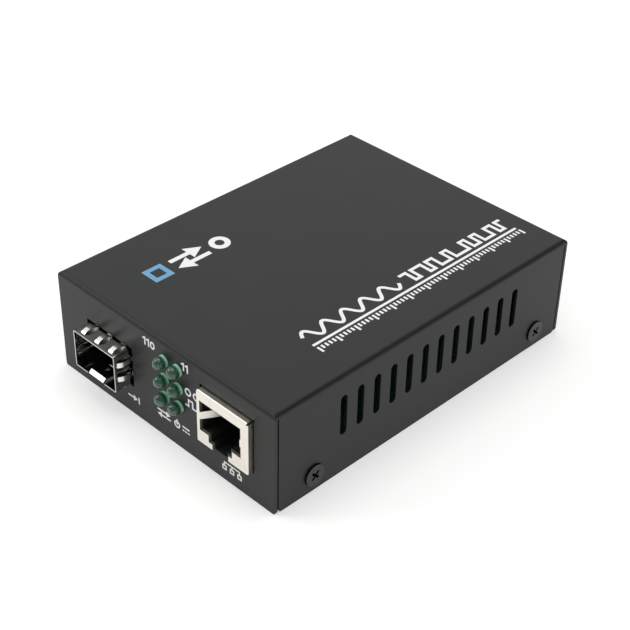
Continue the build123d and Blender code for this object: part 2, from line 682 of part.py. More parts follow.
def sfp_connector():
    """The moulded 20-way connector body with its card slot."""
    front = edge_connector_front()
    body = standing_box(CAGE_X, front + EDGE_DEPTH / 2, BOARD_TOP, EDGE_WIDTH, EDGE_DEPTH, EDGE_HEIGHT)
    body = chamfer(body.edges().filter_by(Axis.X).sort_by(Axis.Z)[-2:], 0.5)
    slot_z = BOARD_TOP + EDGE_SLOT_Z
    body -= block(
        (CAGE_X - EDGE_SLOT_WIDTH / 2, CAGE_X + EDGE_SLOT_WIDTH / 2),
        (front - 1, front + EDGE_SLOT_DEPTH),
        (slot_z - EDGE_SLOT_HEIGHT / 2, slot_z + EDGE_SLOT_HEIGHT / 2),
    )
    return body


def sfp_contacts():
    """Two rows of sprung contacts that lie on the walls of the card slot."""
    front = edge_connector_front()
    slot_z = BOARD_TOP + EDGE_SLOT_Z
    pieces = []
    for index in range(EDGE_CONTACT_COUNT):
        x = CAGE_X + (index - (EDGE_CONTACT_COUNT - 1) / 2) * EDGE_CONTACT_PITCH
        for side in (-1, 1):
            wall = slot_z + side * EDGE_SLOT_HEIGHT / 2
            zs = sorted((wall, wall - side * EDGE_CONTACT_THICKNESS))
            half = EDGE_CONTACT_WIDTH / 2
            pieces.append(block((x - half, x + half), (front + 0.6, front + EDGE_SLOT_DEPTH), zs))
    return pieces


def stepped_mouth(grow=0.0):
    """The socket's mouth: a wide opening with the plug latch's two steps below, as a sketch."""
    wide = MOUTH_WIDTH / 2 - grow
    step = STEP_WIDTH / 2 - grow
    notch = NOTCH_WIDTH / 2 - grow
    top = MOUTH_TOP - grow
    shoulder = MOUTH_BOTTOM + grow
    sill = MOUTH_BOTTOM - STEP_HEIGHT + grow
    foot = BOARD_TOP + grow
    points = [
        (-wide, top), (-wide, shoulder), (-step, shoulder), (-step, sill), (-notch, sill),
        (-notch, foot), (notch, foot), (notch, sill), (step, sill), (step, shoulder),
        (wide, shoulder), (wide, top),
    ]
    return Pos(MOUTH_X, 0) * make_face(Polyline(*points, close=True))


def jack_shield():
    """The folded shield: front with its stepped mouth, top, sides and back, open below."""
    outer = standing_box(
        JACK_X, JACK_FRONT + JACK_DEPTH / 2, BOARD_TOP, JACK_WIDTH, JACK_DEPTH, JACK_HEIGHT
    )
    rounded = outer.edges().filter_by(Axis.Y).sort_by(Axis.Z)[-2:].sort_by(Axis.X)[0]
    outer = fillet(rounded, SHIELD_CORNER)
    folds = outer.faces().sort_by(Axis.Y)[0].edges().sort_by(Axis.Z)[1:]
    outer = fillet(folds, SHIELD_BEND)
    inner = block(
        (JACK_X - JACK_WIDTH / 2 + SHIELD_SHEET, JACK_X + JACK_WIDTH / 2 - SHIELD_SHEET),
        (JACK_FRONT + SHIELD_SHEET, JACK_BACK - SHIELD_SHEET),
        (BOARD_TOP - 1, JACK_TOP - SHIELD_SHEET),
    )
    inner = fillet(
        inner.edges().filter_by(Axis.Y).sort_by(Axis.Z)[-2:].sort_by(Axis.X)[0],
        SHIELD_CORNER - SHIELD_SHEET,
    )
    shield = outer - inner
    shield -= extrude(front_sketch(JACK_FRONT) * stepped_mouth(), SHIELD_SHEET * 2, both=True)
    seam = JACK_X + JACK_WIDTH / 2 - SHIELD_SHEET
    shield -= block(
        (seam, seam + 2 * SHIELD_SHEET),
        (JACK_FRONT - SHIELD_SHEET, JACK_BACK - SHIELD_SHEET),
        (JACK_TOP - SHIELD_SHEET - SHIELD_SEAM, JACK_TOP + 1),
    )
    tongue_z = MOUTH_TOP - MOUTH_HEIGHT / 2 - SHIELD_TONGUE_HEIGHT / 2
    for side in (-1, 1):
        rim = MOUTH_X + side * MOUTH_WIDTH / 2
        tip = JACK_FRONT + SHIELD_TONGUE_REACH
        lean = -side * SHIELD_TONGUE_LEAN
        root = rim - side * SHIELD_SHEET
        outline = Polyline(
            (rim + side * SHIELD_SHEET, JACK_FRONT),
            (root, JACK_FRONT),
            (root + lean, tip),
            (root + lean + side * SHIELD_SHEET, tip),
            (rim, JACK_FRONT + SHIELD_SHEET),
            (rim + side * SHIELD_SHEET, JACK_FRONT + SHIELD_SHEET),
            close=True,
        )
        shield += Pos(0, 0, tongue_z) * extrude(make_face(outline), SHIELD_TONGUE_HEIGHT)
    foot = BOARD_UNDERSIDE - PIN_PROJECTION
    for x, y in shield_tab_spots():
        shield += standing_box(x, y, foot, SHIELD_SHEET, SHIELD_TAB_WIDTH, JACK_TOP / 2 - foot)
    return shield


def jack_housing():
    """The insulator that fills the shield, with the plug cavity and the contact chamber."""
    half = JACK_WIDTH / 2 - SHIELD_SHEET - SHIELD_FIT
    front = JACK_FRONT + SHIELD_SHEET
    roof = JACK_TOP - SHIELD_SHEET - SHIELD_FIT
    back = JACK_BACK - SHIELD_SHEET - SHIELD_FIT
    body = block((JACK_X - half, JACK_X + half), (front, back), (BOARD_TOP, roof))
    body = fillet(
        body.edges().filter_by(Axis.Y).sort_by(Axis.Z)[-2:].sort_by(Axis.X)[0],
        SHIELD_CORNER - SHIELD_SHEET,
    )
    cavity = front_sketch(front) * stepped_mouth(CAVITY_LIP)
    body -= extrude(cavity, -CAVITY_DEPTH)
    body -= extrude(cavity, 1)
    chamber_half = CONTACT_COUNT * CONTACT_PITCH / 2 + CONTACT_WIDTH
    chamber = (MOUTH_X - chamber_half, MOUTH_X + chamber_half)
    chamber_front = JACK_FRONT + CONTACT_FRONT - CONTACT_THICKNESS
    chamber_top = MOUTH_TOP + CONTACT_THICKNESS
    body -= block(chamber, (chamber_front, CONTACT_SLOT[1]), (MOUTH_TOP - 2 * CAVITY_LIP, chamber_top))
    body -= block(chamber, CONTACT_SLOT, (BOARD_TOP - 1, chamber_top))
    tongue_z = MOUTH_TOP - MOUTH_HEIGHT / 2
    clear = SHIELD_TONGUE_HEIGHT / 2 + SHIELD_SHEET
    for side in (-1, 1):
        xs = sorted((
            MOUTH_X + side * (MOUTH_WIDTH / 2 - CAVITY_LIP - 1),
            MOUTH_X + side * (MOUTH_WIDTH / 2 + SHIELD_SHEET),
        ))
        pocket_back = JACK_FRONT + SHIELD_TONGUE_REACH + SHIELD_SHEET
        body -= block(xs, (front - 1, pocket_back), (tongue_z - clear, tongue_z + clear))
        peg_x = JACK_X + side * PEG_SPACING / 2
        body += upright(peg_x, PEG_Y, BOARD_UNDERSIDE - PIN_PROJECTION, BOARD_TOP, PEG_RADIUS)
    return body


def jack_contacts():
    """Eight bent wires: up through the board, along the roof, round, and back into the cavity."""
    top = MOUTH_TOP + CONTACT_THICKNESS / 2
    foot = BOARD_UNDERSIDE - PIN_PROJECTION
    front = JACK_FRONT + CONTACT_FRONT + CONTACT_THICKNESS
    pieces = []
    for x, pin_y in contact_pin_spots():
        path = Polyline(
            (pin_y, foot),
            (pin_y, top),
            (front + CONTACT_BEND, top),
            (front, top - CONTACT_BEND),
            (front + CONTACT_BEND, top - 2 * CONTACT_BEND),
            (front + CONTACT_REACH, top - CONTACT_BEND - CONTACT_DROP),
        )
        start = Plane((x, pin_y, foot), x_dir=(1, 0, 0), z_dir=(0, 0, 1))
        section = start * Rectangle(CONTACT_WIDTH, CONTACT_THICKNESS)
        pieces.append(sweep(section, side_profile(x) * path, transition=Transition.RIGHT))
    return pieces


def lamp(x, z):
    """One 3 mm lamp body lying along Y: flange at the back, dome at the front."""
    shoulder = FRONT - LAMP_PROUD + LAMP_RADIUS
    flange_front = LAMP_BACK - LAMP_FLANGE
    angles = [math.pi / 2 * step / LAMP_DOME_STEPS for step in range(LAMP_DOME_STEPS + 1)]
    dome = [(LAMP_RADIUS * math.sin(a), shoulder - LAMP_RADIUS * math.cos(a)) for a in angles]
    body = [
        (LAMP_RADIUS, flange_front),
        (LAMP_FLANGE_RADIUS, flange_front),
        (LAMP_FLANGE_RADIUS, LAMP_BACK),
        (0, LAMP_BACK),
    ]
    return Pos(x, 0, z) * revolve(make_face(Polyline(*dome, *body, close=True)), Axis.Y)


def led_holder():
    """The black block that the lamps seat against, bored for their leads."""
    low = BOARD_TOP
    high = BOARD_TOP + LAMP_FIRST_ROW + 2 * LAMP_ROW_PITCH + HOLDER_MARGIN
    half = LAMP_COLUMN_PITCH / 2 + HOLDER_MARGIN
    channel = LEAD_SIZE / 2 + LEAD_CLEARANCE
    body = block((LAMP_X - half, LAMP_X + half), (LAMP_BACK, HOLDER_BACK), (low, high))
    for x, z, _ in LAMP_SPOTS.values():
        for side in (-1, 1):
            lead_x = x + side * LEAD_SPACING / 2
            body -= block(
                (lead_x - channel, lead_x + channel),
                (LAMP_BACK - 1, HOLDER_BACK + 1),
                (z - channel, z + channel),
            )
    return body


def led_leads():
    """Twelve leads: straight back through the holder, then down through the board."""
    pieces = []
    for x, z, row in LAMP_SPOTS.values():
        bend_y = lead_bend_y(row)
        for side in (-1, 1):
            lead_x = x + side * LEAD_SPACING / 2
            path = Polyline(
                (LAMP_BACK, z),
                (bend_y - LEAD_BEND, z),
                (bend_y, z - LEAD_BEND),
                (bend_y, BOARD_UNDERSIDE - PIN_PROJECTION),
            )
            start = Plane((lead_x, LAMP_BACK, z), x_dir=(1, 0, 0), z_dir=(0, 1, 0))
            section = start * Rectangle(LEAD_SIZE, LEAD_SIZE)
            pieces.append(sweep(section, side_profile(lead_x) * path, transition=Transition.RIGHT))
    return pieces


def transformer():
    """The isolation magnetics: a moulded block on two rows of short feet."""
    underside = BOARD_TOP + TRANSFORMER_LIFT
    size = (TRANSFORMER_WIDTH, TRANSFORMER_LENGTH, TRANSFORMER_HEIGHT)
    body = standing_box(TRANSFORMER_X, TRANSFORMER_Y, underside, *size)
    body = chamfer(body.faces().sort_by(Axis.Z)[-1].edges(), 0.6)
    count = 12
    pitch = TRANSFORMER_LENGTH / (count + 1)
    for side in (-1, 1):
        for index in range(count):
            x = TRANSFORMER_X + side * (TRANSFORMER_WIDTH / 2 + 0.3)
            y = TRANSFORMER_Y + (index - (count - 1) / 2) * pitch
            body += standing_box(x, y, BOARD_TOP, 1.4, 0.4, 1.2)
    return body


def converter_chip():
    """The converter's main chip, a square moulded package with a corner dot."""
    body = standing_box(CHIP_X, CHIP_Y, BOARD_TOP + CHIP_LIFT, CHIP_SIZE, CHIP_SIZE, CHIP_HEIGHT)
    body = chamfer(body.faces().sort_by(Axis.Z)[-1].edges(), 0.2)
    top = BOARD_TOP + CHIP_LIFT + CHIP_HEIGHT
    dot = CHIP_SIZE / 2 - 1.6
    return body - upright(CHIP_X - dot, CHIP_Y - dot, top - 0.1, top + 1, 0.6)


def converter_chip_leads():
    """The gull-wing leads on the chip's four sides."""
    high = BOARD_TOP + CHIP_LIFT + CHIP_HEIGHT / 2
    half_body = CHIP_SIZE / 2
    outline = Polyline(
        (half_body, high),
        (half_body + CHIP_LEAD_REACH * 0.4, high),
        (half_body + CHIP_LEAD_REACH * 0.55, BOARD_TOP + CHIP_LEAD_THICKNESS),
        (half_body + CHIP_LEAD_REACH, BOARD_TOP + CHIP_LEAD_THICKNESS),
        (half_body + CHIP_LEAD_REACH, BOARD_TOP),
        (half_body + CHIP_LEAD_REACH * 0.4, BOARD_TOP),
        (half_body + CHIP_LEAD_REACH * 0.25, high - CHIP_LEAD_THICKNESS),
        (half_body, high - CHIP_LEAD_THICKNESS),
        close=True,
    )
    lead = extrude(Plane.XZ * make_face(outline), CHIP_LEAD_WIDTH / 2, both=True)
    pieces = []
    for quarter in range(4):
        for index in range(CHIP_LEADS_PER_SIDE):
            offset = (index - (CHIP_LEADS_PER_SIDE - 1) / 2) * CHIP_LEAD_PITCH
            pieces.append(Pos(CHIP_X, CHIP_Y) * Rot(0, 0, 90 * quarter) * Pos(0, offset) * lead)
    return pieces


def crystal():
    """The reference crystal in its low metal can, to the right of the converter chip."""
    outline = SlotOverall(CRYSTAL_LENGTH, CRYSTAL_WIDTH)
    x = CHIP_X + CHIP_SIZE / 2 + CHIP_LEAD_REACH + PART_GAP + CRYSTAL_LENGTH / 2
    rim = extrude(Pos(x, CHIP_Y, BOARD_TOP) * outline, CRYSTAL_RIM)
    can_outline = SlotOverall(CRYSTAL_LENGTH - 2 * CRYSTAL_RIM, CRYSTAL_WIDTH - 2 * CRYSTAL_RIM)
    can = extrude(Pos(x, CHIP_Y, BOARD_TOP) * can_outline, CRYSTAL_HEIGHT)
    return rim + chamfer(can.edges().group_by(Axis.Z)[-1], CRYSTAL_RIM)


def small_chip(x, y):
    """An eight-lead moulded chip with its leads."""
    body = standing_box(x, y, BOARD_TOP + CHIP_LIFT, SMALL_CHIP_WIDTH, SMALL_CHIP_LENGTH, SMALL_CHIP_HEIGHT)
    for side in (-1, 1):
        for index in range(4):
            lead_y = y + (index - 1.5) * 1.27
            lead_x = x + side * SMALL_CHIP_WIDTH / 2
            body += standing_box(lead_x, lead_y, BOARD_TOP, 2 * SMALL_LEAD_REACH, 0.4, 0.8)
    return body


def memory_chip():
    """The settings memory, to the left of the converter chip."""
    reach = SMALL_CHIP_WIDTH / 2 + SMALL_LEAD_REACH
    return small_chip(CHIP_X - CHIP_SIZE / 2 - CHIP_LEAD_REACH - PART_GAP - reach, CHIP_Y)


def supply_spots():
    """Places of the supply parts, in a row from the inlet to the right."""
    widths = {f"capacitor_{index + 1}": CAPACITOR_BASE for index in range(CAPACITOR_COUNT)}
    widths["inductor"] = INDUCTOR_SIZE
    widths["regulator"] = SMALL_CHIP_WIDTH + 2 * SMALL_LEAD_REACH
    x = INLET_X + INLET_WIDTH / 2 + PART_GAP
    gap = SUPPLY_GAP_SHARE * (BOARD_WIDTH / 2 - x - sum(widths.values()))
    spots = {}
    for name, width in widths.items():
        spots[name] = x + width / 2
        x += width + gap
    return spots


def supply_capacitors():
    """Electrolytic cans on square moulded bases with two clipped corners."""
    spots = supply_spots()
    pieces = []
    for index in range(CAPACITOR_COUNT):
        x = spots[f"capacitor_{index + 1}"]
        base = standing_box(x, SUPPLY_Y, BOARD_TOP, CAPACITOR_BASE, CAPACITOR_BASE, CAPACITOR_BASE_HEIGHT)
        base = chamfer(base.edges().filter_by(Axis.Z).group_by(Axis.Y)[0], 1.5)
        can_top = BOARD_TOP + CAPACITOR_HEIGHT
        can = upright(x, SUPPLY_Y, BOARD_TOP, can_top, CAPACITOR_RADIUS)
        pieces.append(base + chamfer(can.edges().sort_by(Axis.Z)[-1], 0.4))
    return pieces


def power_inductor():
    """A shielded inductor: a square ferrite with a round core in its top."""
    x = supply_spots()["inductor"]
    body = standing_box(x, SUPPLY_Y, BOARD_TOP, INDUCTOR_SIZE, INDUCTOR_SIZE, INDUCTOR_HEIGHT)
    body = chamfer(body.edges().filter_by(Axis.Z), 1.4)
    top = BOARD_TOP + INDUCTOR_HEIGHT
    groove = upright(x, SUPPLY_Y, top - 0.5, top + 1, INDUCTOR_CORE_RADIUS + 0.4)
    return body - (groove - upright(x, SUPPLY_Y, top - 1, top + 2, INDUCTOR_CORE_RADIUS))


def supply_regulator():
    """The switching regulator chip."""
    return small_chip(supply_spots()["regulator"], SUPPLY_Y)


def protection_diode():
    """The input diode, a moulded block with folded end tabs."""
    x = INLET_X + INLET_WIDTH / 2 + PART_GAP + DIODE_LENGTH / 2
    body = standing_box(x, INPUT_ROW_Y, BOARD_TOP + 0.1, DIODE_LENGTH, DIODE_WIDTH, DIODE_HEIGHT)
    for side in (-1, 1):
        body += standing_box(x + side * DIODE_LENGTH / 2, INPUT_ROW_Y, BOARD_TOP, 0.8, 1.5, 1.2)
    return body


def supply_fuse():
    """The input fuse, a small ceramic block with metal caps."""
    x = INLET_X + INLET_WIDTH / 2 + 2 * PART_GAP + DIODE_LENGTH + FUSE_LENGTH / 2
    body = standing_box(x, INPUT_ROW_Y, BOARD_TOP, FUSE_LENGTH, FUSE_WIDTH, FUSE_HEIGHT)
    for side in (-1, 1):
        cap_x = x + side * (FUSE_LENGTH - 1.2) / 2
        body += standing_box(cap_x, INPUT_ROW_Y, BOARD_TOP, 1.4, FUSE_WIDTH + 0.2, FUSE_HEIGHT + 0.1)
    return body


def power_socket_housing():
    """The inlet's moulding: a block with the round plug bore and a spring chamber below."""
    body = standing_box(
        INLET_X, INLET_FRONT + INLET_DEPTH / 2, BOARD_TOP, INLET_WIDTH, INLET_DEPTH, INLET_HEIGHT
    )
    body = chamfer(body.edges().filter_by(Axis.Y).sort_by(Axis.Z)[-2:], 1.0)
    bore_front = INLET_BACK - INLET_BORE_DEPTH
    body -= along_y(INLET_X, INLET_Z, bore_front, INLET_BACK + 1, INLET_BORE_RADIUS)
    body -= along_y(INLET_X, INLET_Z, INLET_FRONT - 1, bore_front + 1, INLET_PIN_SHANK + SHIELD_FIT)
    half = INLET_TAB_WIDTH / 2 + 0.1
    chamber_top = INLET_Z - INLET_BORE_RADIUS + 0.6
    width = (INLET_X - half, INLET_X + half)
    body -= block(width, (bore_front, INLET_BACK - 1.5), (BOARD_TOP + 1.5, chamber_top))
    spring_y = inlet_tab_spots()[1][1]
    slot = INLET_TAB_THICKNESS / 2 + 0.1
    body -= block(width, (spring_y - slot, spring_y + slot), (BOARD_TOP - 1, BOARD_TOP + 2))
    pin_y = inlet_tab_spots()[0][1]
    body -= block(width, (pin_y - slot, pin_y + slot), (BOARD_TOP - 1, INLET_Z))
    return body


def power_socket_pin():
    """The inlet's centre pin with the solder tab riveted behind it."""
    tip = INLET_BACK - INLET_PIN_SETBACK
    pin = along_y(INLET_X, INLET_Z, INLET_FRONT, tip, INLET_PIN_RADIUS)
    pin = chamfer(pin.edges().filter_by(GeomType.CIRCLE).sort_by(Axis.Y)[-1], INLET_PIN_TIP)
    pin += along_y(INLET_X, INLET_Z, INLET_FRONT, INLET_BACK - INLET_BORE_DEPTH, INLET_PIN_SHANK)
    x, y = inlet_tab_spots()[0]
    tab = block(
        (x - INLET_TAB_WIDTH / 2, x + INLET_TAB_WIDTH / 2),
        (y - INLET_TAB_THICKNESS / 2, y + INLET_TAB_THICKNESS / 2),
        (BOARD_TOP - INLET_TAB_LENGTH, INLET_Z - INLET_PIN_RADIUS / 2),
    )
    return pin + tab


def power_socket_spring():
    """The contact spring under the plug: a bowed leaf with its solder tab."""
    x, tab_y = inlet_tab_spots()[1]
    leaf_z = BOARD_TOP + 2.0
    thick = INLET_TAB_THICKNESS / 2
    back = INLET_BACK - 2.0
    rise = INLET_Z - INLET_BORE_RADIUS - leaf_z + 0.2
    leaf = bowed_strip(side_profile(x), (tab_y - thick, leaf_z), (back, leaf_z), rise, thick, INLET_TAB_WIDTH)
    tab = block(
        (x - INLET_TAB_WIDTH / 2, x + INLET_TAB_WIDTH / 2),
        (tab_y - thick, tab_y + thick),
        (BOARD_TOP - INLET_TAB_LENGTH, leaf_z + thick),
    )
    return leaf + tab


def all_nodes():
    """Every piece by its node name: one solid, or a list of like solids."""
    nodes = {
        "cover": cover(),
        "base_plate": base_plate(),
        "cover_screws": cover_screws(),
        "standoffs": standoffs(),
        "board_screws": board_screws(),
        "circuit_board": circuit_board(),
        "sfp_cage": sfp_cage(),
        "sfp_ground_springs": sfp_ground_springs(),
        "sfp_connector": sfp_connector(),
        "sfp_contacts": sfp_contacts(),
        "jack_shield": jack_shield(),
        "jack_housing": jack_housing(),
        "jack_contacts": jack_contacts(),
        "led_holder": led_holder(),
        "led_leads": led_leads(),
        "transformer": transformer(),
        "converter_chip": converter_chip(),
        "converter_chip_leads": converter_chip_leads(),
        "crystal": crystal(),
        "memory_chip": memory_chip(),
        "power_socket_housing": power_socket_housing(),
        "power_socket_pin": power_socket_pin(),
        "power_socket_spring": power_socket_spring(),
        "protection_diode": protection_diode(),
        "supply_fuse": supply_fuse(),
        "supply_capacitors": supply_capacitors(),
        "power_inductor": power_inductor(),
        "supply_regulator": supply_regulator(),
    }
    for name, (x, z, _) in LAMP_SPOTS.items():
        nodes[name] = lamp(x, z)
    return nodes


os.makedirs("parts", exist_ok=True)
for name, piece in all_nodes().items():
    if isinstance(piece, list):
        piece = Compound(children=piece)
    export_step(piece, f"parts/{name}.step")
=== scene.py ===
"""The looks of a fibre media converter: finishes, print, lamps and a small photographic studio.

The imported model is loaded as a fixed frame. Each sub-assembly is a class that gives the model's own
pieces the finish they are made in, and models what the solids leave to the eye: the white print on
the case and the epoxy lamps with what shows inside them.
"""

from __future__ import annotations

import logging
import math
from collections.abc import Mapping, Sequence
from dataclasses import dataclass, field, replace
from enum import Enum

import bpy
from mathutils import Matrix, Vector

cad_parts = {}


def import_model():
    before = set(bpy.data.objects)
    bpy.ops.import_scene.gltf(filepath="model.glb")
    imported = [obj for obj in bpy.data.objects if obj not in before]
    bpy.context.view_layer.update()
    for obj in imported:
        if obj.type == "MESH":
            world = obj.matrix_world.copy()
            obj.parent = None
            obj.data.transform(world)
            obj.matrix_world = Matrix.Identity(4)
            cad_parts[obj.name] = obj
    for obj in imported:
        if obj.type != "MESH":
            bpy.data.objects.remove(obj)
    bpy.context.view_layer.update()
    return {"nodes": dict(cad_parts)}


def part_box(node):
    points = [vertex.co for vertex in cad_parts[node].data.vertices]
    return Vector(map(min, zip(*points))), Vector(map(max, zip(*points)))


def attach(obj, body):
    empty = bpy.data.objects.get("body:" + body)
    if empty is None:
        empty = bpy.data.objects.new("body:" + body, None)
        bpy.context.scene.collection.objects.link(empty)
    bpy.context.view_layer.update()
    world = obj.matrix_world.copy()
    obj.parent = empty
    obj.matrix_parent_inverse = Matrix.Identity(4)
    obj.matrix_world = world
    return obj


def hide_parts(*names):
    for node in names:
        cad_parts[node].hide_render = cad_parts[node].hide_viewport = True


LOG = logging.getLogger("media_converter")

MM = 0.001
IMAGE_WIDTH = 630
SENSOR_MM = 36.0
BODY = "root"
WHITE = "#ffffff"
# Edges that turn by less than this are shaded as one round.
ROUND_BELOW = math.radians(35)
# The sRGB curve: a straight toe up to its knee, and a power above it.
SRGB_KNEE = 0.04045
SRGB_TOE = 12.92
SRGB_LIFT = 0.055
SRGB_POWER = 2.4


def linear(colour: str) -> tuple[float, float, float, float]:
    """Turn an sRGB hex colour into linear red, green, blue and a full alpha.

    Args:
        colour: The colour as six hex digits after a hash sign.

    Returns:
        The linear colour that a shader socket takes.
    """
    channels = [int(colour[i : i + 2], 16) / 255 for i in (1, 3, 5)]
    red, green, blue = (
        c / SRGB_TOE if c <= SRGB_KNEE else ((c + SRGB_LIFT) / (1 + SRGB_LIFT)) ** SRGB_POWER
        for c in channels
    )
    return (red, green, blue, 1.0)


def add_node(
    tree: bpy.types.NodeTree,
    kind: str,
    settings: Mapping[str | int, object] | None = None,
    links: Mapping[str | int, bpy.types.NodeSocket] | None = None,
) -> bpy.types.Node:
    """Add a shader node with its settings and links.

    Args:
        tree: The node tree that gets the node.
        kind: The node's type name.
        settings: Values by property name, input name or input number.
        links: Sockets that feed the node, by input name or number.

    Returns:
        The new node.
    """
    node = tree.nodes.new(kind)
    for key, value in (settings or {}).items():
        if isinstance(key, int) or key in node.inputs:
            node.inputs[key].default_value = value
        else:
            setattr(node, key, value)
    for key, socket in (links or {}).items():
        tree.links.new(socket, node.inputs[key])
    return node


def per_metre(size_mm: float) -> float:
    """Give the texture scale at which one cell of a pattern is that many millimetres."""
    return 1 / (size_mm * MM)


@dataclass(frozen=True)
class Canvas:
    """A new material's nodes, on which a finish draws its pattern.

    Attributes:
        tree: The node tree.
        place: The socket with the place on the piece, in metres.
        shader: The material's shader.
    """

    tree: bpy.types.NodeTree
    place: bpy.types.NodeSocket
    shader: bpy.types.Node


@dataclass(frozen=True)
class Finish:
    """A surface as it is made: what every finish shares.

    Attributes:
        name: The material's plain name.
        colour: Its colour as sRGB hex.
        roughness: How matt it is, from 0 to 1.
        ior: Its index of refraction.
    """

    name: str
    colour: str
    roughness: float
    ior: float = 1.5

    def build(self) -> bpy.types.Material:
        """Make the material.

        Returns:
            The finished material.
        """
        material = bpy.data.materials.new(self.name)
        material.use_nodes = True
        tree = material.node_tree
        tree.nodes.clear()
        place = add_node(tree, "ShaderNodeTexCoord")
        settings = {"Base Color": linear(self.colour), "Roughness": self.roughness, "IOR": self.ior}
        shader = add_node(tree, "ShaderNodeBsdfPrincipled", settings)
        add_node(tree, "ShaderNodeOutputMaterial", links={"Surface": shader.outputs[0]})
        self.pattern(Canvas(tree, place.outputs["Object"], shader))
        return material

    def pattern(self, canvas: Canvas) -> None:
        """Give the shader the pattern of the finish.

        Args:
            canvas: The material's nodes.
        """
        raise NotImplementedError

    def tint(self, canvas: Canvas, other: str, share: bpy.types.NodeSocket) -> None:
        """Blend the finish's colour with another one over the surface.

        Args:
            canvas: The material's nodes.
            other: The other colour, as sRGB hex.
            share: The socket with the other colour's share.
        """
        settings = {"data_type": "RGBA", 6: linear(self.colour), 7: linear(other)}
        tone = add_node(canvas.tree, "ShaderNodeMix", settings, {0: share})
        canvas.tree.links.new(tone.outputs[2], canvas.shader.inputs["Base Color"])


@dataclass(frozen=True)
class GrainedFinish(Finish):
    """A coat or moulding with a fine pebbled grain, such as powder coat or moulded nylon.

    Attributes:
        light: The colour of the grain's crests, as sRGB hex.
        grain_mm: The width of one grain.
        depth_mm: How deep the grain is.
        cloud_mm: The size of the slow drift in tone.
        gloss: The specular level.
    """

    light: str = "#4c4e4c"
    grain_mm: float = 0.3
    depth_mm: float = 0.01
    cloud_mm: float = 12.0
    gloss: float = 0.5

    def pattern(self, canvas: Canvas) -> None:
        """Give the shader its grain, its lighter crests and a slow drift in tone.

        Args:
            canvas: The material's nodes.
        """
        tree, place = canvas.tree, canvas.place
        canvas.shader.inputs["Specular IOR Level"].default_value = self.gloss
        grain = add_node(
            tree, "ShaderNodeTexNoise", {"Scale": per_metre(self.grain_mm), "Detail": 2.0}, {"Vector": place}
        )
        cloud = add_node(
            tree, "ShaderNodeTexNoise", {"Scale": per_metre(self.cloud_mm), "Detail": 3.0}, {"Vector": place}
        )
        crest = add_node(
            tree,
            "ShaderNodeMapRange",
            {"From Min": 0.35, "From Max": 0.75, "To Min": 0.0, "To Max": 0.6},
            {"Value": grain.outputs[0]},
        )
        drift = add_node(
            tree,
            "ShaderNodeMapRange",
            {"From Min": 0.3, "From Max": 0.7, "To Min": 0.0, "To Max": 0.3},
            {"Value": cloud.outputs[0]},
        )
        both = add_node(
            tree, "ShaderNodeMath", {"operation": "ADD", "use_clamp": True},
            {0: crest.outputs[0], 1: drift.outputs[0]},
        )
        self.tint(canvas, self.light, both.outputs[0])
        bump = add_node(
            tree, "ShaderNodeBump", {"Strength": 0.6, "Distance": self.depth_mm * MM},
            {"Height": grain.outputs[0]},
        )
        tree.links.new(bump.outputs[0], canvas.shader.inputs["Normal"])


@dataclass(frozen=True)
class PlatedFinish(Finish):
    """Rolled or drawn metal under a thin plate, with its rolling streaks and dull clouds.

    Attributes:
        dull: The colour of the tarnished clouds, as sRGB hex.
        streak_mm: The width of one rolling streak.
        along: How much each axis stretches the streaks: small numbers make long streaks.
        cloud_mm: The size of a tarnished cloud.
        dullness: How strongly the clouds show.
        smoother: How much the polished streaks are below the mean roughness.
        rougher: How much the dull streaks are above it.
        depth_mm: How deep the streaks are.
    """

    dull: str = "#8d8578"
    streak_mm: float = 0.25
    along: tuple[float, float, float] = (1.0, 0.08, 1.0)
    cloud_mm: float = 3.0
    dullness: float = 0.45
    smoother: float = 0.08
    rougher: float = 0.1
    depth_mm: float = 0.004

    def pattern(self, canvas: Canvas) -> None:
        """Give the shader its streaks, its clouds and the roughness that follows them.

        Args:
            canvas: The material's nodes.
        """
        tree, place = canvas.tree, canvas.place
        canvas.shader.inputs["Metallic"].default_value = 1.0
        stretched = add_node(tree, "ShaderNodeMapping", {"Scale": self.along}, {"Vector": place})
        streak = add_node(
            tree,
            "ShaderNodeTexNoise",
            {"Scale": per_metre(self.streak_mm), "Detail": 3.0},
            {"Vector": stretched.outputs[0]},
        )
        cloud = add_node(
            tree, "ShaderNodeTexNoise", {"Scale": per_metre(self.cloud_mm), "Detail": 4.0}, {"Vector": place}
        )
        dulled = add_node(
            tree,
            "ShaderNodeMapRange",
            {"From Min": 0.45, "From Max": 0.75, "To Min": 0.0, "To Max": self.dullness},
            {"Value": cloud.outputs[0]},
        )
        self.tint(canvas, self.dull, dulled.outputs[0])
        polish = add_node(
            tree,
            "ShaderNodeMapRange",
            {
                "From Min": 0.25,
                "From Max": 0.75,
                "To Min": self.roughness - self.smoother,
                "To Max": self.roughness + self.rougher,
            },
            {"Value": streak.outputs[0]},
        )
        tree.links.new(polish.outputs[0], canvas.shader.inputs["Roughness"])
        bump = add_node(
            tree, "ShaderNodeBump", {"Strength": 0.25, "Distance": self.depth_mm * MM},
            {"Height": streak.outputs[0]},
        )
        tree.links.new(bump.outputs[0], canvas.shader.inputs["Normal"])


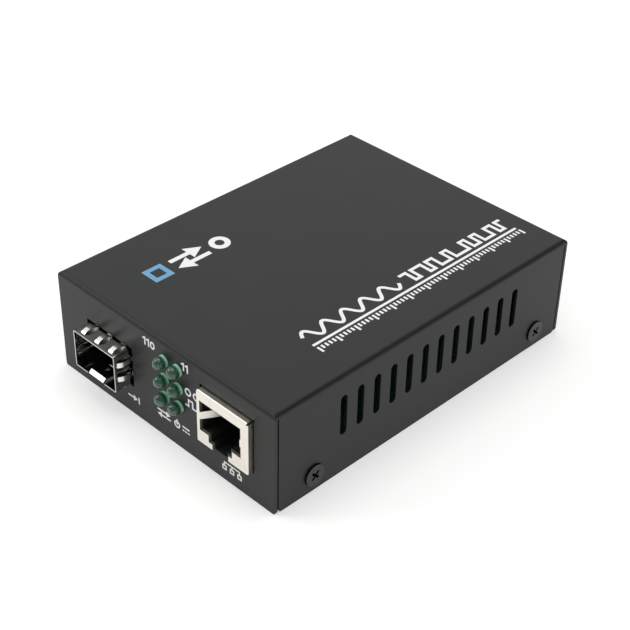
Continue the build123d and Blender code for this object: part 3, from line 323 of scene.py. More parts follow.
@dataclass(frozen=True)
class LaminateFinish(Finish):
    """Solder mask over woven glass: a green gloss film with the cloth's weave just under it.

    Attributes:
        thread: The colour over a thread's crest, as sRGB hex.
        thread_mm: The spacing of the glass threads.
        unevenness: How far the threads stray from straight.
    """

    thread: str = "#2b7a45"
    thread_mm: float = 0.5
    unevenness: float = 0.4

    def pattern(self, canvas: Canvas) -> None:
        """Give the shader the two crossing thread directions.

        Args:
            canvas: The material's nodes.
        """
        tree, place = canvas.tree, canvas.place
        scale = per_metre(self.thread_mm * 2 * math.pi)
        crossings = []
        for direction in ("X", "Y"):
            settings = {"wave_type": "BANDS", "bands_direction": direction, "Scale": scale}
            settings["Distortion"] = self.unevenness
            crossings.append(add_node(tree, "ShaderNodeTexWave", settings, {"Vector": place}))
        weave = add_node(
            tree,
            "ShaderNodeMath",
            {"operation": "MULTIPLY"},
            {0: crossings[0].outputs[1], 1: crossings[1].outputs[1]},
        )
        self.tint(canvas, self.thread, weave.outputs[0])


@dataclass(frozen=True)
class InkFinish(Finish):
    """Screen-printed ink: an even coat that thins a little where the mesh held it back.

    Attributes:
        thin: The colour where the ink is thinner, as sRGB hex.
        mesh_mm: The size of the thinner spots.
    """

    thin: str = "#d4d6d6"
    mesh_mm: float = 0.5

    def pattern(self, canvas: Canvas) -> None:
        """Give the shader its thinner spots.

        Args:
            canvas: The material's nodes.
        """
        tree, place = canvas.tree, canvas.place
        spots = add_node(
            tree, "ShaderNodeTexNoise", {"Scale": per_metre(self.mesh_mm), "Detail": 2.0}, {"Vector": place}
        )
        thinness = add_node(
            tree,
            "ShaderNodeMapRange",
            {"From Min": 0.5, "From Max": 0.8, "To Min": 0.0, "To Max": 0.7},
            {"Value": spots.outputs[0]},
        )
        self.tint(canvas, self.thin, thinness.outputs[0])


@dataclass(frozen=True)
class LensFinish(Finish):
    """Tinted casting epoxy: clear enough to show the cup inside, with faint flow lines.

    Attributes:
        clearness: How much light passes, from 0 to 1.
        flow_mm: The width of a flow line.
        depth_mm: How deep it is.
    """

    clearness: float = 0.8
    flow_mm: float = 1.2
    depth_mm: float = 0.01

    def pattern(self, canvas: Canvas) -> None:
        """Give the shader its clearness and flow lines.

        Args:
            canvas: The material's nodes.
        """
        tree, place = canvas.tree, canvas.place
        canvas.shader.inputs["Transmission Weight"].default_value = self.clearness
        canvas.shader.inputs["Coat Weight"].default_value = 0.3
        canvas.shader.inputs["Coat Roughness"].default_value = 0.05
        flow = add_node(
            tree, "ShaderNodeTexNoise", {"Scale": per_metre(self.flow_mm), "Detail": 1.0}, {"Vector": place}
        )
        bump = add_node(
            tree, "ShaderNodeBump", {"Strength": 0.2, "Distance": self.depth_mm * MM},
            {"Height": flow.outputs[0]},
        )
        tree.links.new(bump.outputs[0], canvas.shader.inputs["Normal"])


@dataclass(frozen=True)
class LampWallFinish(Finish):
    """Diffused casting epoxy seen from the side, with a painted glow: pale mint painted at the lamp's root
    stands in for the light it gathers there.

    Attributes:
        root: The colour of the painted glow at the root, as sRGB hex.
        front_mm: The depth of the lamp's shoulder in the model's frame, where the painted glow begins.
        root_mm: The depth of its root, where it leaves the case and the painted glow is full.
        flow_mm: The width of a flow line.
        blur_mm: How far a flow line shifts the edge of the painted glow.
    """

    # Painted light: this pale mint at the root stands in for the light the epoxy gathers there.
    root: str = "#bffbdd"
    front_mm: float = -49.0
    root_mm: float = -47.0
    flow_mm: float = 0.8
    blur_mm: float = 0.2

    def pattern(self, canvas: Canvas) -> None:
        """Give the shader its painted glow at the root, blurred along faint flow lines.

        Args:
            canvas: The material's nodes.
        """
        tree, place = canvas.tree, canvas.place
        depth = add_node(tree, "ShaderNodeSeparateXYZ", links={0: place}).outputs["Y"]
        flow = add_node(
            tree, "ShaderNodeTexNoise", {"Scale": per_metre(self.flow_mm), "Detail": 1.0}, {"Vector": place}
        )
        blur = self.blur_mm * MM
        settings = {"operation": "MULTIPLY_ADD", 1: blur, 2: -blur / 2}
        shift = add_node(tree, "ShaderNodeMath", settings, {0: flow.outputs[0]})
        blurred = add_node(tree, "ShaderNodeMath", {"operation": "ADD"}, {0: depth, 1: shift.outputs[0]})
        # The share of the painted glow, rising from where it begins to the root.
        painted_glow_share = add_node(
            tree,
            "ShaderNodeMapRange",
            {
                "interpolation_type": "SMOOTHSTEP",
                "From Min": self.front_mm * MM,
                "From Max": self.root_mm * MM,
            },
            {"Value": blurred.outputs[0]},
        )
        self.tint(canvas, self.root, painted_glow_share.outputs[0])


# Black polyester powder coat, baked: a matt dark grey with a fine pebble. The real pebble is about
# 0.15 mm; it is drawn at 0.3 mm, so that it shows.
POWDER_COAT = GrainedFinish(
    "black_powder_coat", "#181b19", 0.45, light="#222623",
    grain_mm=0.3, depth_mm=0.01, cloud_mm=14.0, gloss=0.32,
)
# Black zinc plate: darker than the coat beside it and with a dull metal glint on its edges.
BLACK_ZINC = PlatedFinish(
    "black_zinc_plate", "#454545", 0.26, dull="#303030", streak_mm=0.2, along=(1.0, 1.0, 1.0), cloud_mm=0.8
)
# Bright zinc plate: a cool grey metal with soft streaks.
BRIGHT_ZINC = PlatedFinish("bright_zinc_plate", "#b9bcbd", 0.34, dull="#8f9294", along=(1.0, 1.0, 0.1))
# Nickel plate on rolled steel, thin and a little dulled: the cage is a plain grey, streaked lengthwise.
CAGE_NICKEL = PlatedFinish("dull_nickel_plate", "#c5c4c1", 0.14, dull="#949390", streak_mm=0.3, dullness=0.3)
# Bright nickel on spring bronze: nearly mirror-like.
SPRING_NICKEL = PlatedFinish(
    "bright_nickel_plate", "#ebebe9", 0.12, dull="#cfcecb", streak_mm=0.15, dullness=0.2
)
# Satin nickel on the folded shield: a pale cream metal that takes the light broadly.
SHIELD_NICKEL = PlatedFinish(
    "satin_nickel_plate", "#e9e4da", 0.33, dull="#ded7c9", along=(0.1, 1.0, 1.0), dullness=0.3
)
# Glass-filled nylon, moulded: matt black that swallows the light in the sockets.
NYLON = GrainedFinish(
    "black_moulded_nylon", "#141414", 0.55, light="#1d1d1d",
    grain_mm=0.4, depth_mm=0.006, cloud_mm=6.0, gloss=0.4,
)
# Gold flash on spring bronze: the bright yellow wires in the sockets.
GOLD_PLATE = PlatedFinish("gold_plate", "#e3b862", 0.2, dull="#b58c41", streak_mm=0.1, dullness=0.3)
# Tin plate: soft white metal on the leads.
TIN_PLATE = PlatedFinish("tin_plate", "#c4c5c2", 0.35, dull="#999a97", streak_mm=0.1)
# Drawn aluminium: the cans of the crystal and the capacitors.
DRAWN_CAN = PlatedFinish(
    "drawn_aluminium", "#cfd2d4", 0.3, dull="#a9acae", streak_mm=0.1, along=(1.0, 1.0, 0.05)
)
# Transfer-moulded epoxy: the dark bodies of the chips, slightly sparkling with its filler.
CHIP_EPOXY = GrainedFinish(
    "moulded_chip_epoxy", "#242425", 0.6, light="#313132", grain_mm=0.12, depth_mm=0.004
)
# Sintered ferrite: a dense dark grey, faintly granular.
FERRITE = GrainedFinish("sintered_ferrite", "#343437", 0.5, light="#45454a", grain_mm=0.2, depth_mm=0.006)
# Fired alumina: an off-white body with a chalky grain.
CERAMIC = GrainedFinish("fired_ceramic", "#dcd9cf", 0.5, light="#e8e5dc", grain_mm=0.25, depth_mm=0.004)
# Glass-epoxy laminate under green solder mask: glossy, with the cloth showing faintly.
LAMINATE = LaminateFinish("green_solder_mask", "#14562e", 0.3)
# White screen ink, baked on the coat: flat and slightly uneven.
WHITE_INK = InkFinish("white_screen_ink", "#fbfbfb", 0.5, thin="#eceded")
# Blue screen ink.
BLUE_INK = InkFinish("blue_screen_ink", "#6fa9d0", 0.5, thin="#5b93bb")
# Green tinted casting epoxy: the clear dome, which shows the cup inside and glints at its rim.
LENS_EPOXY = LensFinish("green_tinted_epoxy", "#8fc4a8", 0.08, ior=1.45, clearness=0.85)
# The same epoxy along the lamp's wall: dark green at the dome, and a painted glow of pale mint where it
# leaves the case, which stands in for the light it gathers there.
WALL_EPOXY = LampWallFinish("green_epoxy_with_painted_glow", "#1f5a3d", 0.16)
# The unlit cup at the lamp's front: a dark grey green round the die in its middle.
DARK_CUP = GrainedFinish(
    "unlit_lamp_cup", "#324d3e", 0.5, light="#3b5748", grain_mm=0.2, depth_mm=0.003, cloud_mm=1.0, gloss=0.4
)


def deselect() -> None:
    """Leave nothing selected, in object mode."""
    if bpy.context.object and bpy.context.object.mode != "OBJECT":
        bpy.ops.object.mode_set(mode="OBJECT")
    bpy.ops.object.select_all(action="DESELECT")


def take(*pieces: bpy.types.Object) -> None:
    """Select some pieces alone and make the first one active.

    Args:
        pieces: The pieces.
    """
    deselect()
    for piece in pieces:
        piece.select_set(True)
    bpy.context.view_layer.objects.active = pieces[0]


def settle(piece: bpy.types.Object) -> None:
    """Put a piece's place, turn and scale into its mesh."""
    take(piece)
    bpy.ops.object.transform_apply(location=True, rotation=True, scale=True)


def keep(piece: bpy.types.Object, name: str, finish: bpy.types.Material) -> None:
    """Name a finished piece, give it its material and let it ride on the case.

    Args:
        piece: The finished mesh object.
        name: The piece's name.
        finish: Its material.
    """
    piece.name = name
    piece.data.name = name
    piece.data.materials.clear()
    piece.data.materials.append(finish)
    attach(piece, BODY)
    LOG.info("%s: %d faces", name, len(piece.data.polygons))


def turned(
    stations: Sequence[tuple[float, float]], centre: tuple[float, float], segments: int = 40
) -> bpy.types.Object:
    """Turn a round piece about an axis that runs along Y, from its back to its front.

    Args:
        stations: Pairs of depth and radius in metres, from the back to the front.
        centre: The axis as x and z in metres.
        segments: How many sides the round has.

    Returns:
        The closed piece, with its place in its mesh.
    """
    deselect()
    depth, radius = stations[0]
    x, z = centre
    bpy.ops.mesh.primitive_circle_add(
        vertices=segments,
        radius=radius,
        fill_type="NOTHING",
        location=(x, depth, z),
        rotation=(math.pi / 2, 0, 0),
    )
    piece = bpy.context.object
    settle(piece)
    bpy.ops.object.mode_set(mode="EDIT")
    bpy.ops.mesh.select_all(action="SELECT")
    bpy.ops.mesh.edge_face_add()
    for next_depth, next_radius in stations[1:]:
        bpy.ops.mesh.extrude_region_move(TRANSFORM_OT_translate={"value": (0, next_depth - depth, 0)})
        ratio = next_radius / radius
        bpy.ops.transform.resize(value=(ratio, 1, ratio), center_override=(x, next_depth, z))
        depth, radius = next_depth, next_radius
    bpy.ops.mesh.select_all(action="DESELECT")
    bpy.ops.mesh.select_non_manifold()
    bpy.ops.mesh.edge_face_add()
    bpy.ops.mesh.select_all(action="SELECT")
    bpy.ops.mesh.normals_make_consistent(inside=False)
    bpy.ops.object.mode_set(mode="OBJECT")
    bpy.ops.object.shade_smooth_by_angle(angle=ROUND_BELOW)
    return piece


def copied(piece: bpy.types.Object, shift: Vector) -> bpy.types.Object:
    """Copy a finished piece, with a mesh of its own, to another place.

    Args:
        piece: The piece to copy.
        shift: How far the copy stands from it, in metres.

    Returns:
        The copy, with its place in its mesh.
    """
    take(piece)
    bpy.ops.object.duplicate(linked=False)
    twin = bpy.context.object
    bpy.ops.transform.translate(value=shift)
    settle(twin)
    return twin


@dataclass(frozen=True)
class Digits:
    """The proportions of plain digits, as shares of their height.

    Attributes:
        stroke: The width of a stroke.
        gap: The space between two digits.
        one: The breadth of a one, before it is stretched to fill its place.
        nought: The breadth of a nought, likewise.
        flag_low: Where the flag of a one starts.
        flag_high: Where the flag meets the stem.
    """

    stroke: float = 0.21
    gap: float = 0.12
    one: float = 0.36
    nought: float = 0.6
    flag_low: float = 0.76
    flag_high: float = 0.93


@dataclass
class Stencil:
    """A flat sign made of simple marks, drawn in millimetres and printed on a face.

    Attributes:
        marks: The marks drawn so far.
        digits: The proportions of its digits.
        film_mm: The thickness of the ink.
        step_mm: How much higher each mark lies than the last, so that no two films share a plane.
        merge_mm: The distance below which two corners of a mark become one.
        oval_sides: How many straight runs make an oval.
        head_share: The length of an arrow's head, as a share of its shaft's width.
        neck_share: How far the shaft ends behind the arrow's point, as a share of the head's length.
        mitre: The cosine at which a corner's mitre grows no longer.
    """

    marks: list[bpy.types.Object] = field(default_factory=list)
    digits: Digits = Digits()
    film_mm: float = 0.02
    step_mm: float = 0.0004
    merge_mm: float = 0.0002
    oval_sides: int = 24
    head_share: float = 3.2
    neck_share: float = 0.9
    mitre: float = 0.5

    def add(self, mark: bpy.types.Object) -> None:
        """Keep a mark, a hair above the last one.

        Args:
            mark: The mark, as a flat mesh object.
        """
        mark.location.z += self.step_mm * len(self.marks)
        settle(mark)
        self.marks.append(mark)

    def line(self, points: Sequence[tuple[float, float]], width: float, closed: bool = False) -> None:
        """Lay a ribbon of ink along some points, mitred at each corner.

        Args:
            points: The corners of the line, at least two.
            width: The line's width.
            closed: Whether the line returns to its start.
        """
        spots = [Vector(point) for point in points]
        if closed:
            spots.append(spots[0])
        runs = [(after - before).normalized() for before, after in zip(spots, spots[1:])]
        befores = [runs[-1] if closed else runs[0], *runs]
        afters = [*runs, runs[0] if closed else runs[-1]]
        deselect()
        bpy.ops.mesh.primitive_grid_add(x_subdivisions=len(spots) - 1, y_subdivisions=1, size=1)
        ribbon = bpy.context.object
        for index, (spot, before, after) in enumerate(zip(spots, befores, afters)):
            mean = (before + after).normalized()
            reach = width / 2 / max(self.mitre, mean.dot(after))
            across = Vector((-mean.y, mean.x)) * reach
            ribbon.data.vertices[index].co.xy = spot - across
            ribbon.data.vertices[index + len(spots)].co.xy = spot + across
        self.add(ribbon)

    def bar(self, start: tuple[float, float], end: tuple[float, float], width: float) -> None:
        """Draw a straight bar between two points."""
        self.line([start, end], width)

    def oval(self, centre: tuple[float, float], size: tuple[float, float], width: float) -> None:
        """Draw an open oval, such as a nought or a ring.

        Args:
            centre: The middle of the oval.
            size: Its width and height outside.
            width: The line's width.
        """
        half_x, half_y = (size[0] - width) / 2, (size[1] - width) / 2
        angles = [index / self.oval_sides * 2 * math.pi for index in range(self.oval_sides)]
        self.line(
            [(centre[0] + half_x * math.cos(a), centre[1] + half_y * math.sin(a)) for a in angles],
            width,
            closed=True,
        )

    def frame(self, centre: tuple[float, float], side: float, width: float) -> None:
        """Draw an open square.

        Args:
            centre: The middle of the square.
            side: Its width outside.
            width: The line's width.
        """
        half = (side - width) / 2
        turns = ((-1, -1), (1, -1), (1, 1), (-1, 1))
        self.line([(centre[0] + x * half, centre[1] + y * half) for x, y in turns], width, closed=True)

    def head(self, tip: tuple[float, float], ahead: Vector, length: float) -> None:
        """Draw a filled arrow head.

        Args:
            tip: Its point.
            ahead: The direction it points in.
            length: Its length.
        """
        deselect()
        radius = length * 2 / 3
        centre = Vector(tip) - ahead * radius
        bpy.ops.mesh.primitive_circle_add(
            vertices=3,
            radius=radius,
            fill_type="NGON",
            location=(centre.x, centre.y, 0),
            rotation=(0, 0, math.atan2(ahead.y, ahead.x) - math.pi / 2),
        )
        self.add(bpy.context.object)

    def arrow(self, start: tuple[float, float], end: tuple[float, float], width: float) -> None:
        """Draw an arrow.

        Args:
            start: The arrow's tail.
            end: The arrow's point.
            width: The width of its shaft.
        """
        ahead = (Vector(end) - Vector(start)).normalized()
        length = width * self.head_share
        neck = Vector(end) - ahead * length * self.neck_share
        self.bar(start, (neck.x, neck.y), width)
        self.head(end, ahead, length)

    def number(self, digits: str, corner: tuple[float, float], width: float, height: float) -> None:
        """Set a plain number of ones and noughts.

        Args:
            digits: The number.
            corner: Its lower left corner.
            width: The width it fills.
            height: The height of its digits.
        """
        stroke, gap = height * self.digits.stroke, height * self.digits.gap
        shares = [self.digits.one if digit == "1" else self.digits.nought for digit in digits]
        stretch = (width - gap * (len(digits) - 1)) / sum(shares)
        x, y = corner
        for digit, share in zip(digits, shares):
            breadth = share * stretch
            if digit == "1":
                stem = x + breadth - stroke / 2
                flag = (x, y + height * self.digits.flag_low)
                self.line([flag, (stem, y + height * self.digits.flag_high), (stem, y)], stroke)
            else:
                self.oval((x + breadth / 2, y + height / 2), (breadth, height), stroke)
            x += breadth + gap

    def printed(self, where: Matrix) -> bpy.types.Object:
        """Join the marks, give the ink its film and lay the sign on its face.

        Args:
            where: The face's frame, in metres: the sign's x and y run along it and z points out.

        Returns:
            The printed sign, with its place in its mesh.
        """
        take(*self.marks)
        bpy.ops.object.join()
        piece = bpy.context.object
        bpy.ops.object.mode_set(mode="EDIT")
        bpy.ops.mesh.select_all(action="SELECT")
        bpy.ops.mesh.remove_doubles(threshold=self.merge_mm)
        bpy.ops.mesh.normals_make_consistent(inside=False)
        bpy.ops.mesh.extrude_region_move(TRANSFORM_OT_translate={"value": (0, 0, self.film_mm)})
        bpy.ops.mesh.select_all(action="SELECT")
        bpy.ops.mesh.normals_make_consistent(inside=False)
        bpy.ops.object.mode_set(mode="OBJECT")
        piece.matrix_world = where @ Matrix.Scale(MM, 4)
        settle(piece)
        self.marks = []
        return piece


@dataclass
class SubAssembly:
    """A group of the model's own pieces that belong together.

    Attributes:
        nodes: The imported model's objects by name.
        wear: The finish of each piece, by the piece's name.
    """

    nodes: Mapping[str, bpy.types.Object]
    wear: Mapping[str, Finish] = field(default_factory=dict)

    def dress(self, made: dict[str, bpy.types.Material]) -> None:
        """Give each of the model's pieces its finish.

        Args:
            made: The materials made so far, by name; new ones are added.
        """
        for name, finish in self.wear.items():
            for slot in self.nodes[name].material_slots:
                slot.material = material_of(finish, made)
            LOG.info("%s: %s", name, finish.name)


def material_of(finish: Finish, made: dict[str, bpy.types.Material]) -> bpy.types.Material:
    """Make a finish's material once and then share it.

    Args:
        finish: The finish.
        made: The materials made so far, by name.

    Returns:
        The material.
    """
    if finish.name not in made:
        made[finish.name] = finish.build()
    return made[finish.name]


@dataclass(frozen=True)
class SignalLine:
    """A line of waves, then pulses, with a ruler beside it, in millimetres on the top face.

    Attributes:
        start: Where the waves and the ruler's ticks begin.
        base: The level of the troughs.
        crest: The level of the crests.
        stroke: The width of the line.
        half_waves: How many half waves there are.
        runs: How many straight runs make a half wave.
        run: The length of a run along the line.
        pulse_start: Where the pulses begin.
        pulses: The widths of the pulses and of the pauses between them.
        rule: Where the ruler's line begins and ends.
        rule_level: The ruler's level.
        rule_stroke: The width of its line.
        ticks: How many ticks it has.
        tick_pitch: The space between two ticks.
        tick_levels: Where a tick starts, where it ends, and where each fifth one ends.
        tick_stroke: The width of a tick.
    """

    start: float = -25.2
    base: float = -22.3
    crest: float = -18.9
    stroke: float = 0.85
    half_waves: int = 10
    runs: int = 10
    run: float = 0.3
    pulse_start: float = 6.6
    pulses: tuple[float, ...] = (2.2, 1.7, 3.3, 1.7, 2.2, 3.3, 1.7, 4.6, 1.7, 2.2, 1.7, 3.3, 2.2, 1.7, 1.9)
    rule: tuple[float, float] = (-25.5, 42.05)
    rule_level: float = -24.0
    rule_stroke: float = 0.7
    ticks: int = 61
    tick_pitch: float = 1.12
    tick_levels: tuple[float, float, float] = (-25.0, -26.2, -27.0)
    tick_stroke: float = 0.56

    def draw(self, sign: Stencil) -> None:
        """Draw the waves, the pulses and the ruler.

        Args:
            sign: The stencil that they are drawn on.
        """
        middle, swing = (self.base + self.crest) / 2, (self.crest - self.base) / 2
        wave = [
            (self.start + step * self.run, middle + swing * math.sin(step * math.pi / self.runs))
            for step in range(self.half_waves * self.runs + 1)
        ]
        sign.line(wave, self.stroke)
        pulses: list[tuple[float, float]] = []
        left = self.pulse_start
        for index, width in enumerate(self.pulses):
            level = self.base if index % 2 else self.crest
            pulses += [(left, level), (left + width, level)]
            left += width
        sign.line(pulses, self.stroke)
        sign.bar((self.rule[0], self.rule_level), (self.rule[1], self.rule_level), self.rule_stroke)
        top, short, long = self.tick_levels
        for index in range(self.ticks):
            x = self.start + index * self.tick_pitch
            sign.bar((x, top), (x, short if index % 5 else long), self.tick_stroke)


@dataclass
class Case(SubAssembly):
    """The folded cover, the inner pan and the cover screws, with the print on front and top.

    Attributes:
        lift_mm: How far the ink stands off the coat before its film begins.
        digit_mm: The height of the lamps' numbers.
        stroke_mm: The width of a stroke on the front.
        heavy_mm: The same in the sign below the fibre port.
        fine_mm: The same in the sign below the copper port.
        signal: The line along the top's edge.
    """

    wear: Mapping[str, Finish] = field(
        default_factory=lambda: {"cover": POWDER_COAT, "base_plate": POWDER_COAT, "cover_screws": BLACK_ZINC}
    )
    lift_mm: float = 0.003
    digit_mm: float = 2.05
    stroke_mm: float = 0.44
    heavy_mm: float = 0.46
    fine_mm: float = 0.4
    signal: SignalLine = SignalLine()

    def front_frame(self) -> Matrix:
        """Set up the frame of the front face.

        Returns:
            The frame in metres: x to the right, y up and z out of the face.
        """
        low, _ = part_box("cover")
        place = Matrix.Translation((0, low[1] - self.lift_mm * MM, 0))
        return place @ Matrix.Rotation(math.pi / 2, 4, "X")

    def top_frame(self) -> Matrix:
        """Set up the frame of the top face.

        Returns:
            The frame in metres: x to the back, y to the left and z out of the face.
        """
        _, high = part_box("cover")
        place = Matrix.Translation((0, 0, high[2] + self.lift_mm * MM))
        return place @ Matrix.Rotation(math.pi / 2, 4, "Z")

    def print_front(self, ink: bpy.types.Material) -> None:
        """Print the lamps' numbers and the signs beside lamps and ports.

        Args:
            ink: The white ink.
        """
        sign = Stencil()
        stroke, heavy, fine = self.stroke_mm, self.heavy_mm, self.fine_mm
        # A plain number over each column of lamps.
        sign.number("110", (-5.6, 22.3), 4.0, self.digit_mm)
        sign.number("11", (7.0, 22.2), 2.2, self.digit_mm)
        # Two rings over a pulse, beside the right column.
        for x in (8.9, 11.5):
            sign.oval((x, 17.2), (2.1, 2.1), stroke)
        sign.line([(7.9, 13.5), (9.0, 13.5), (9.0, 15.2), (10.3, 15.2), (10.3, 13.5), (12.0, 13.5)], stroke)
        # An arrow that ends at a bar, below the fibre port.
        sign.arrow((-12.1, 4.7), (-8.7, 4.7), heavy)
        sign.bar((-8.3, 3.75), (-8.3, 5.65), heavy)
        # An arrow each way, a ring with a bar, and a bar over three dashes, below the lamps.
        sign.arrow((-1.8, 6.7), (2.6, 6.7), stroke)
        sign.arrow((2.6, 5.5), (-1.8, 5.5), stroke)
        sign.oval((4.8, 5.95), (2.0, 2.0), stroke)
        sign.bar((4.8, 5.9), (4.8, 7.35), stroke)
        sign.bar((6.6, 6.5), (8.9, 6.5), stroke)
        for left in (6.6, 7.45, 8.3):
            sign.bar((left, 5.5), (left + 0.6, 5.5), stroke)
        # Three small squares that hang on one line, below the copper port.
        for x in (20.1, 22.45, 24.8):
            sign.frame((x, 3.5), 1.4, fine)
            sign.bar((x, 4.2), (x, 4.85), fine)
        sign.bar((19.94, 4.95), (24.96, 4.95), fine)
        keep(sign.printed(self.front_frame()), "front_print", ink)

    def print_top(self, white: bpy.types.Material, blue: bpy.types.Material) -> None:
        """Print the signal line along the edge and the conversion sign at the corner.

        Args:
            white: The white ink.
            blue: The blue ink.
        """
        sign = Stencil()
        self.signal.draw(sign)
        keep(sign.printed(self.top_frame()), "top_signal_line", white)
        # A square turns into a ring and back, on one level.
        level, shaft = 19.2, 1.25
        sign.oval((-13.2, level), (5.2, 5.2), 1.4)
        sign.arrow((-27.0, level + 1.6), (-17.4, level + 1.6), shaft)
        sign.arrow((-17.4, level - 1.6), (-27.0, level - 1.6), shaft)
        keep(sign.printed(self.top_frame()), "top_conversion_sign", white)
        sign.frame((-31.6, level), 5.4, 1.3)
        keep(sign.printed(self.top_frame()), "top_port_sign", blue)


@dataclass
class FibrePort(SubAssembly):
    """The module cage with its ground fingers and the connector at its back."""

    wear: Mapping[str, Finish] = field(
        default_factory=lambda: {
            "sfp_cage": CAGE_NICKEL,
            "sfp_ground_springs": SPRING_NICKEL,
            "sfp_connector": NYLON,
            "sfp_contacts": GOLD_PLATE,
        }
    )


@dataclass
class CopperPort(SubAssembly):
    """The shielded network socket."""

    wear: Mapping[str, Finish] = field(
        default_factory=lambda: {
            "jack_shield": SHIELD_NICKEL,
            "jack_housing": NYLON,
            "jack_contacts": GOLD_PLATE,
        }
    )


# The cup's profile: the depth from its back, negative to the front, and the radius, in millimetres.
CUP_PROFILE = (
    (0.0, 1.3),  # the back's edge
    (-0.25, 1.22),  # the rim, outside
    (-0.25, 0.72),  # the rim, inside
    (-0.36, 0.68),  # the ring round the die, outside
    (-0.36, 0.58),  # the ring, inside
    (-0.05, 0.5),  # the edge of the bowl
    (-0.05, 0.22),  # the foot of the post
    (-0.2, 0.16),  # the top of the post
)


@dataclass
class LampBlock(SubAssembly):
    """The six lamps in their holder, with their leads.

    Attributes:
        radius_mm: The radius of a lamp.
        flange_mm: The radius of its flange.
        flange_depth_mm: The thickness of the flange.
        lean_mm: How far the flange's front leans, so that it isn't folded flat.
        dark_share: How much of the wall keeps the epoxy's own dark green behind the dome, before the painted
            glow begins, as a share of its length.
        painted_glow_mm: How much of it carries the full painted glow of pale mint where it leaves the case.
        rings: How many steps shape the dome.
        tip_share: The radius of the flat at the dome's tip, as a share of the lamp's.
        lap_mm: How far the dome reaches back into the wall.
        lap_share: Its radius there, as a share of the lamp's.
        cup_gap_mm: How far the cup's back stands in front of the wall's end.
    """

    wear: Mapping[str, Finish] = field(default_factory=lambda: {"led_holder": NYLON, "led_leads": TIN_PLATE})
    radius_mm: float = 1.5
    flange_mm: float = 1.9
    flange_depth_mm: float = 1.0
    lean_mm: float = 0.01
    dark_share: float = 0.3
    painted_glow_mm: float = 0.2
    rings: int = 10
    tip_share: float = 0.02
    lap_mm: float = 0.02
    lap_share: float = 0.999
    cup_gap_mm: float = 0.06

    def lamp_names(self) -> list[str]:
        """Name the six lamps, by row and column."""
        rows, columns = ("upper", "middle", "lower"), ("left", "right")
        return [f"led_{row}_{column}" for row in rows for column in columns]

    def centre(self, name: str) -> tuple[float, float]:
        """Give the x and z of a lamp's axis, in metres."""
        low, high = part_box(name)
        return (low[0] + high[0]) / 2, (low[2] + high[2]) / 2

    def build_wall(self, name: str) -> bpy.types.Object:
        """Model the lamp's flange and wall, up to the shoulder of the dome.

        Args:
            name: The lamp whose place it takes.

        Returns:
            The wall.
        """
        low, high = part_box(name)
        radius = self.radius_mm * MM
        flange = self.flange_mm * MM
        step = high[1] - self.flange_depth_mm * MM
        stations = [
            (high[1], flange),
            (step, flange),
            (step - self.lean_mm * MM, radius),
            (low[1] + radius, radius),
        ]
        return turned(stations, self.centre(name))

    def build_dome(self, name: str) -> bpy.types.Object:
        """Model the clear dome in front of the wall.

        Args:
            name: The lamp whose place it takes.

        Returns:
            The dome.
        """
        low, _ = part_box(name)
        radius = self.radius_mm * MM
        shoulder = low[1] + radius
        stations = [(shoulder + self.lap_mm * MM, radius * self.lap_share)]
        for ring in range(self.rings):
            angle = ring / self.rings * math.pi / 2
            stations.append((shoulder - radius * math.sin(angle), radius * math.cos(angle)))
        stations.append((low[1], radius * self.tip_share))
        return turned(stations, self.centre(name))

    def build_cup(self, name: str) -> bpy.types.Object:
        """Model the cup behind the dome, with its rim and the post in its middle.

        Args:
            name: The lamp it stands in.

        Returns:
            The cup.
        """
        low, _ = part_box(name)
        back = low[1] + (self.radius_mm - self.cup_gap_mm) * MM
        return turned([(back + depth * MM, radius * MM) for depth, radius in CUP_PROFILE], self.centre(name))

    def build_lamps(self, made: dict[str, bpy.types.Material]) -> None:
        """Model one lamp and stand its copies in the other five places.

        Args:
            made: The materials made so far, by name; new ones are added.
        """
        first = self.lamp_names()[0]
        x, z = self.centre(first)
        start = Vector((x, 0, z))
        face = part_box("cover")[0][1] / MM
        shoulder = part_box(first)[0][1] / MM + self.radius_mm
        # The painted glow of pale mint begins here and is full just short of the case's face.
        painted_glow_start = shoulder + self.dark_share * (face - shoulder)
        wall = replace(WALL_EPOXY, front_mm=painted_glow_start, root_mm=face - self.painted_glow_mm)
        models = {
            "wall": (self.build_wall(first), material_of(wall, made)),
            "dome": (self.build_dome(first), material_of(LENS_EPOXY, made)),
            "cup": (self.build_cup(first), material_of(DARK_CUP, made)),
        }
        for name in self.lamp_names():
            x, z = self.centre(name)
            for part, (model, finish) in models.items():
                piece = model if name == first else copied(model, Vector((x, 0, z)) - start)
                keep(piece, f"{name}_{part}", finish)
                if part != "cup":
                    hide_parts(name)


@dataclass
class Electronics(SubAssembly):
    """The circuit board and what stands on it."""

    wear: Mapping[str, Finish] = field(
        default_factory=lambda: {
            "circuit_board": LAMINATE,
            "standoffs": BRIGHT_ZINC,
            "board_screws": BRIGHT_ZINC,
            "transformer": CHIP_EPOXY,
            "converter_chip": CHIP_EPOXY,
            "converter_chip_leads": TIN_PLATE,
            "crystal": DRAWN_CAN,
            "memory_chip": CHIP_EPOXY,
            "supply_regulator": CHIP_EPOXY,
            "protection_diode": CHIP_EPOXY,
            "supply_fuse": CERAMIC,
            "supply_capacitors": DRAWN_CAN,
            "power_inductor": FERRITE,
            "power_socket_housing": NYLON,
            "power_socket_pin": SPRING_NICKEL,
            "power_socket_spring": SPRING_NICKEL,
        }
    )


class Seen(Enum):
    """Which rays see the white of the studio rather than its lamps."""

    BY_CAMERA = "Is Camera Ray"
    IN_GLOSS = "Is Glossy Ray"
    THROUGH_GLASS = "Is Transmission Ray"


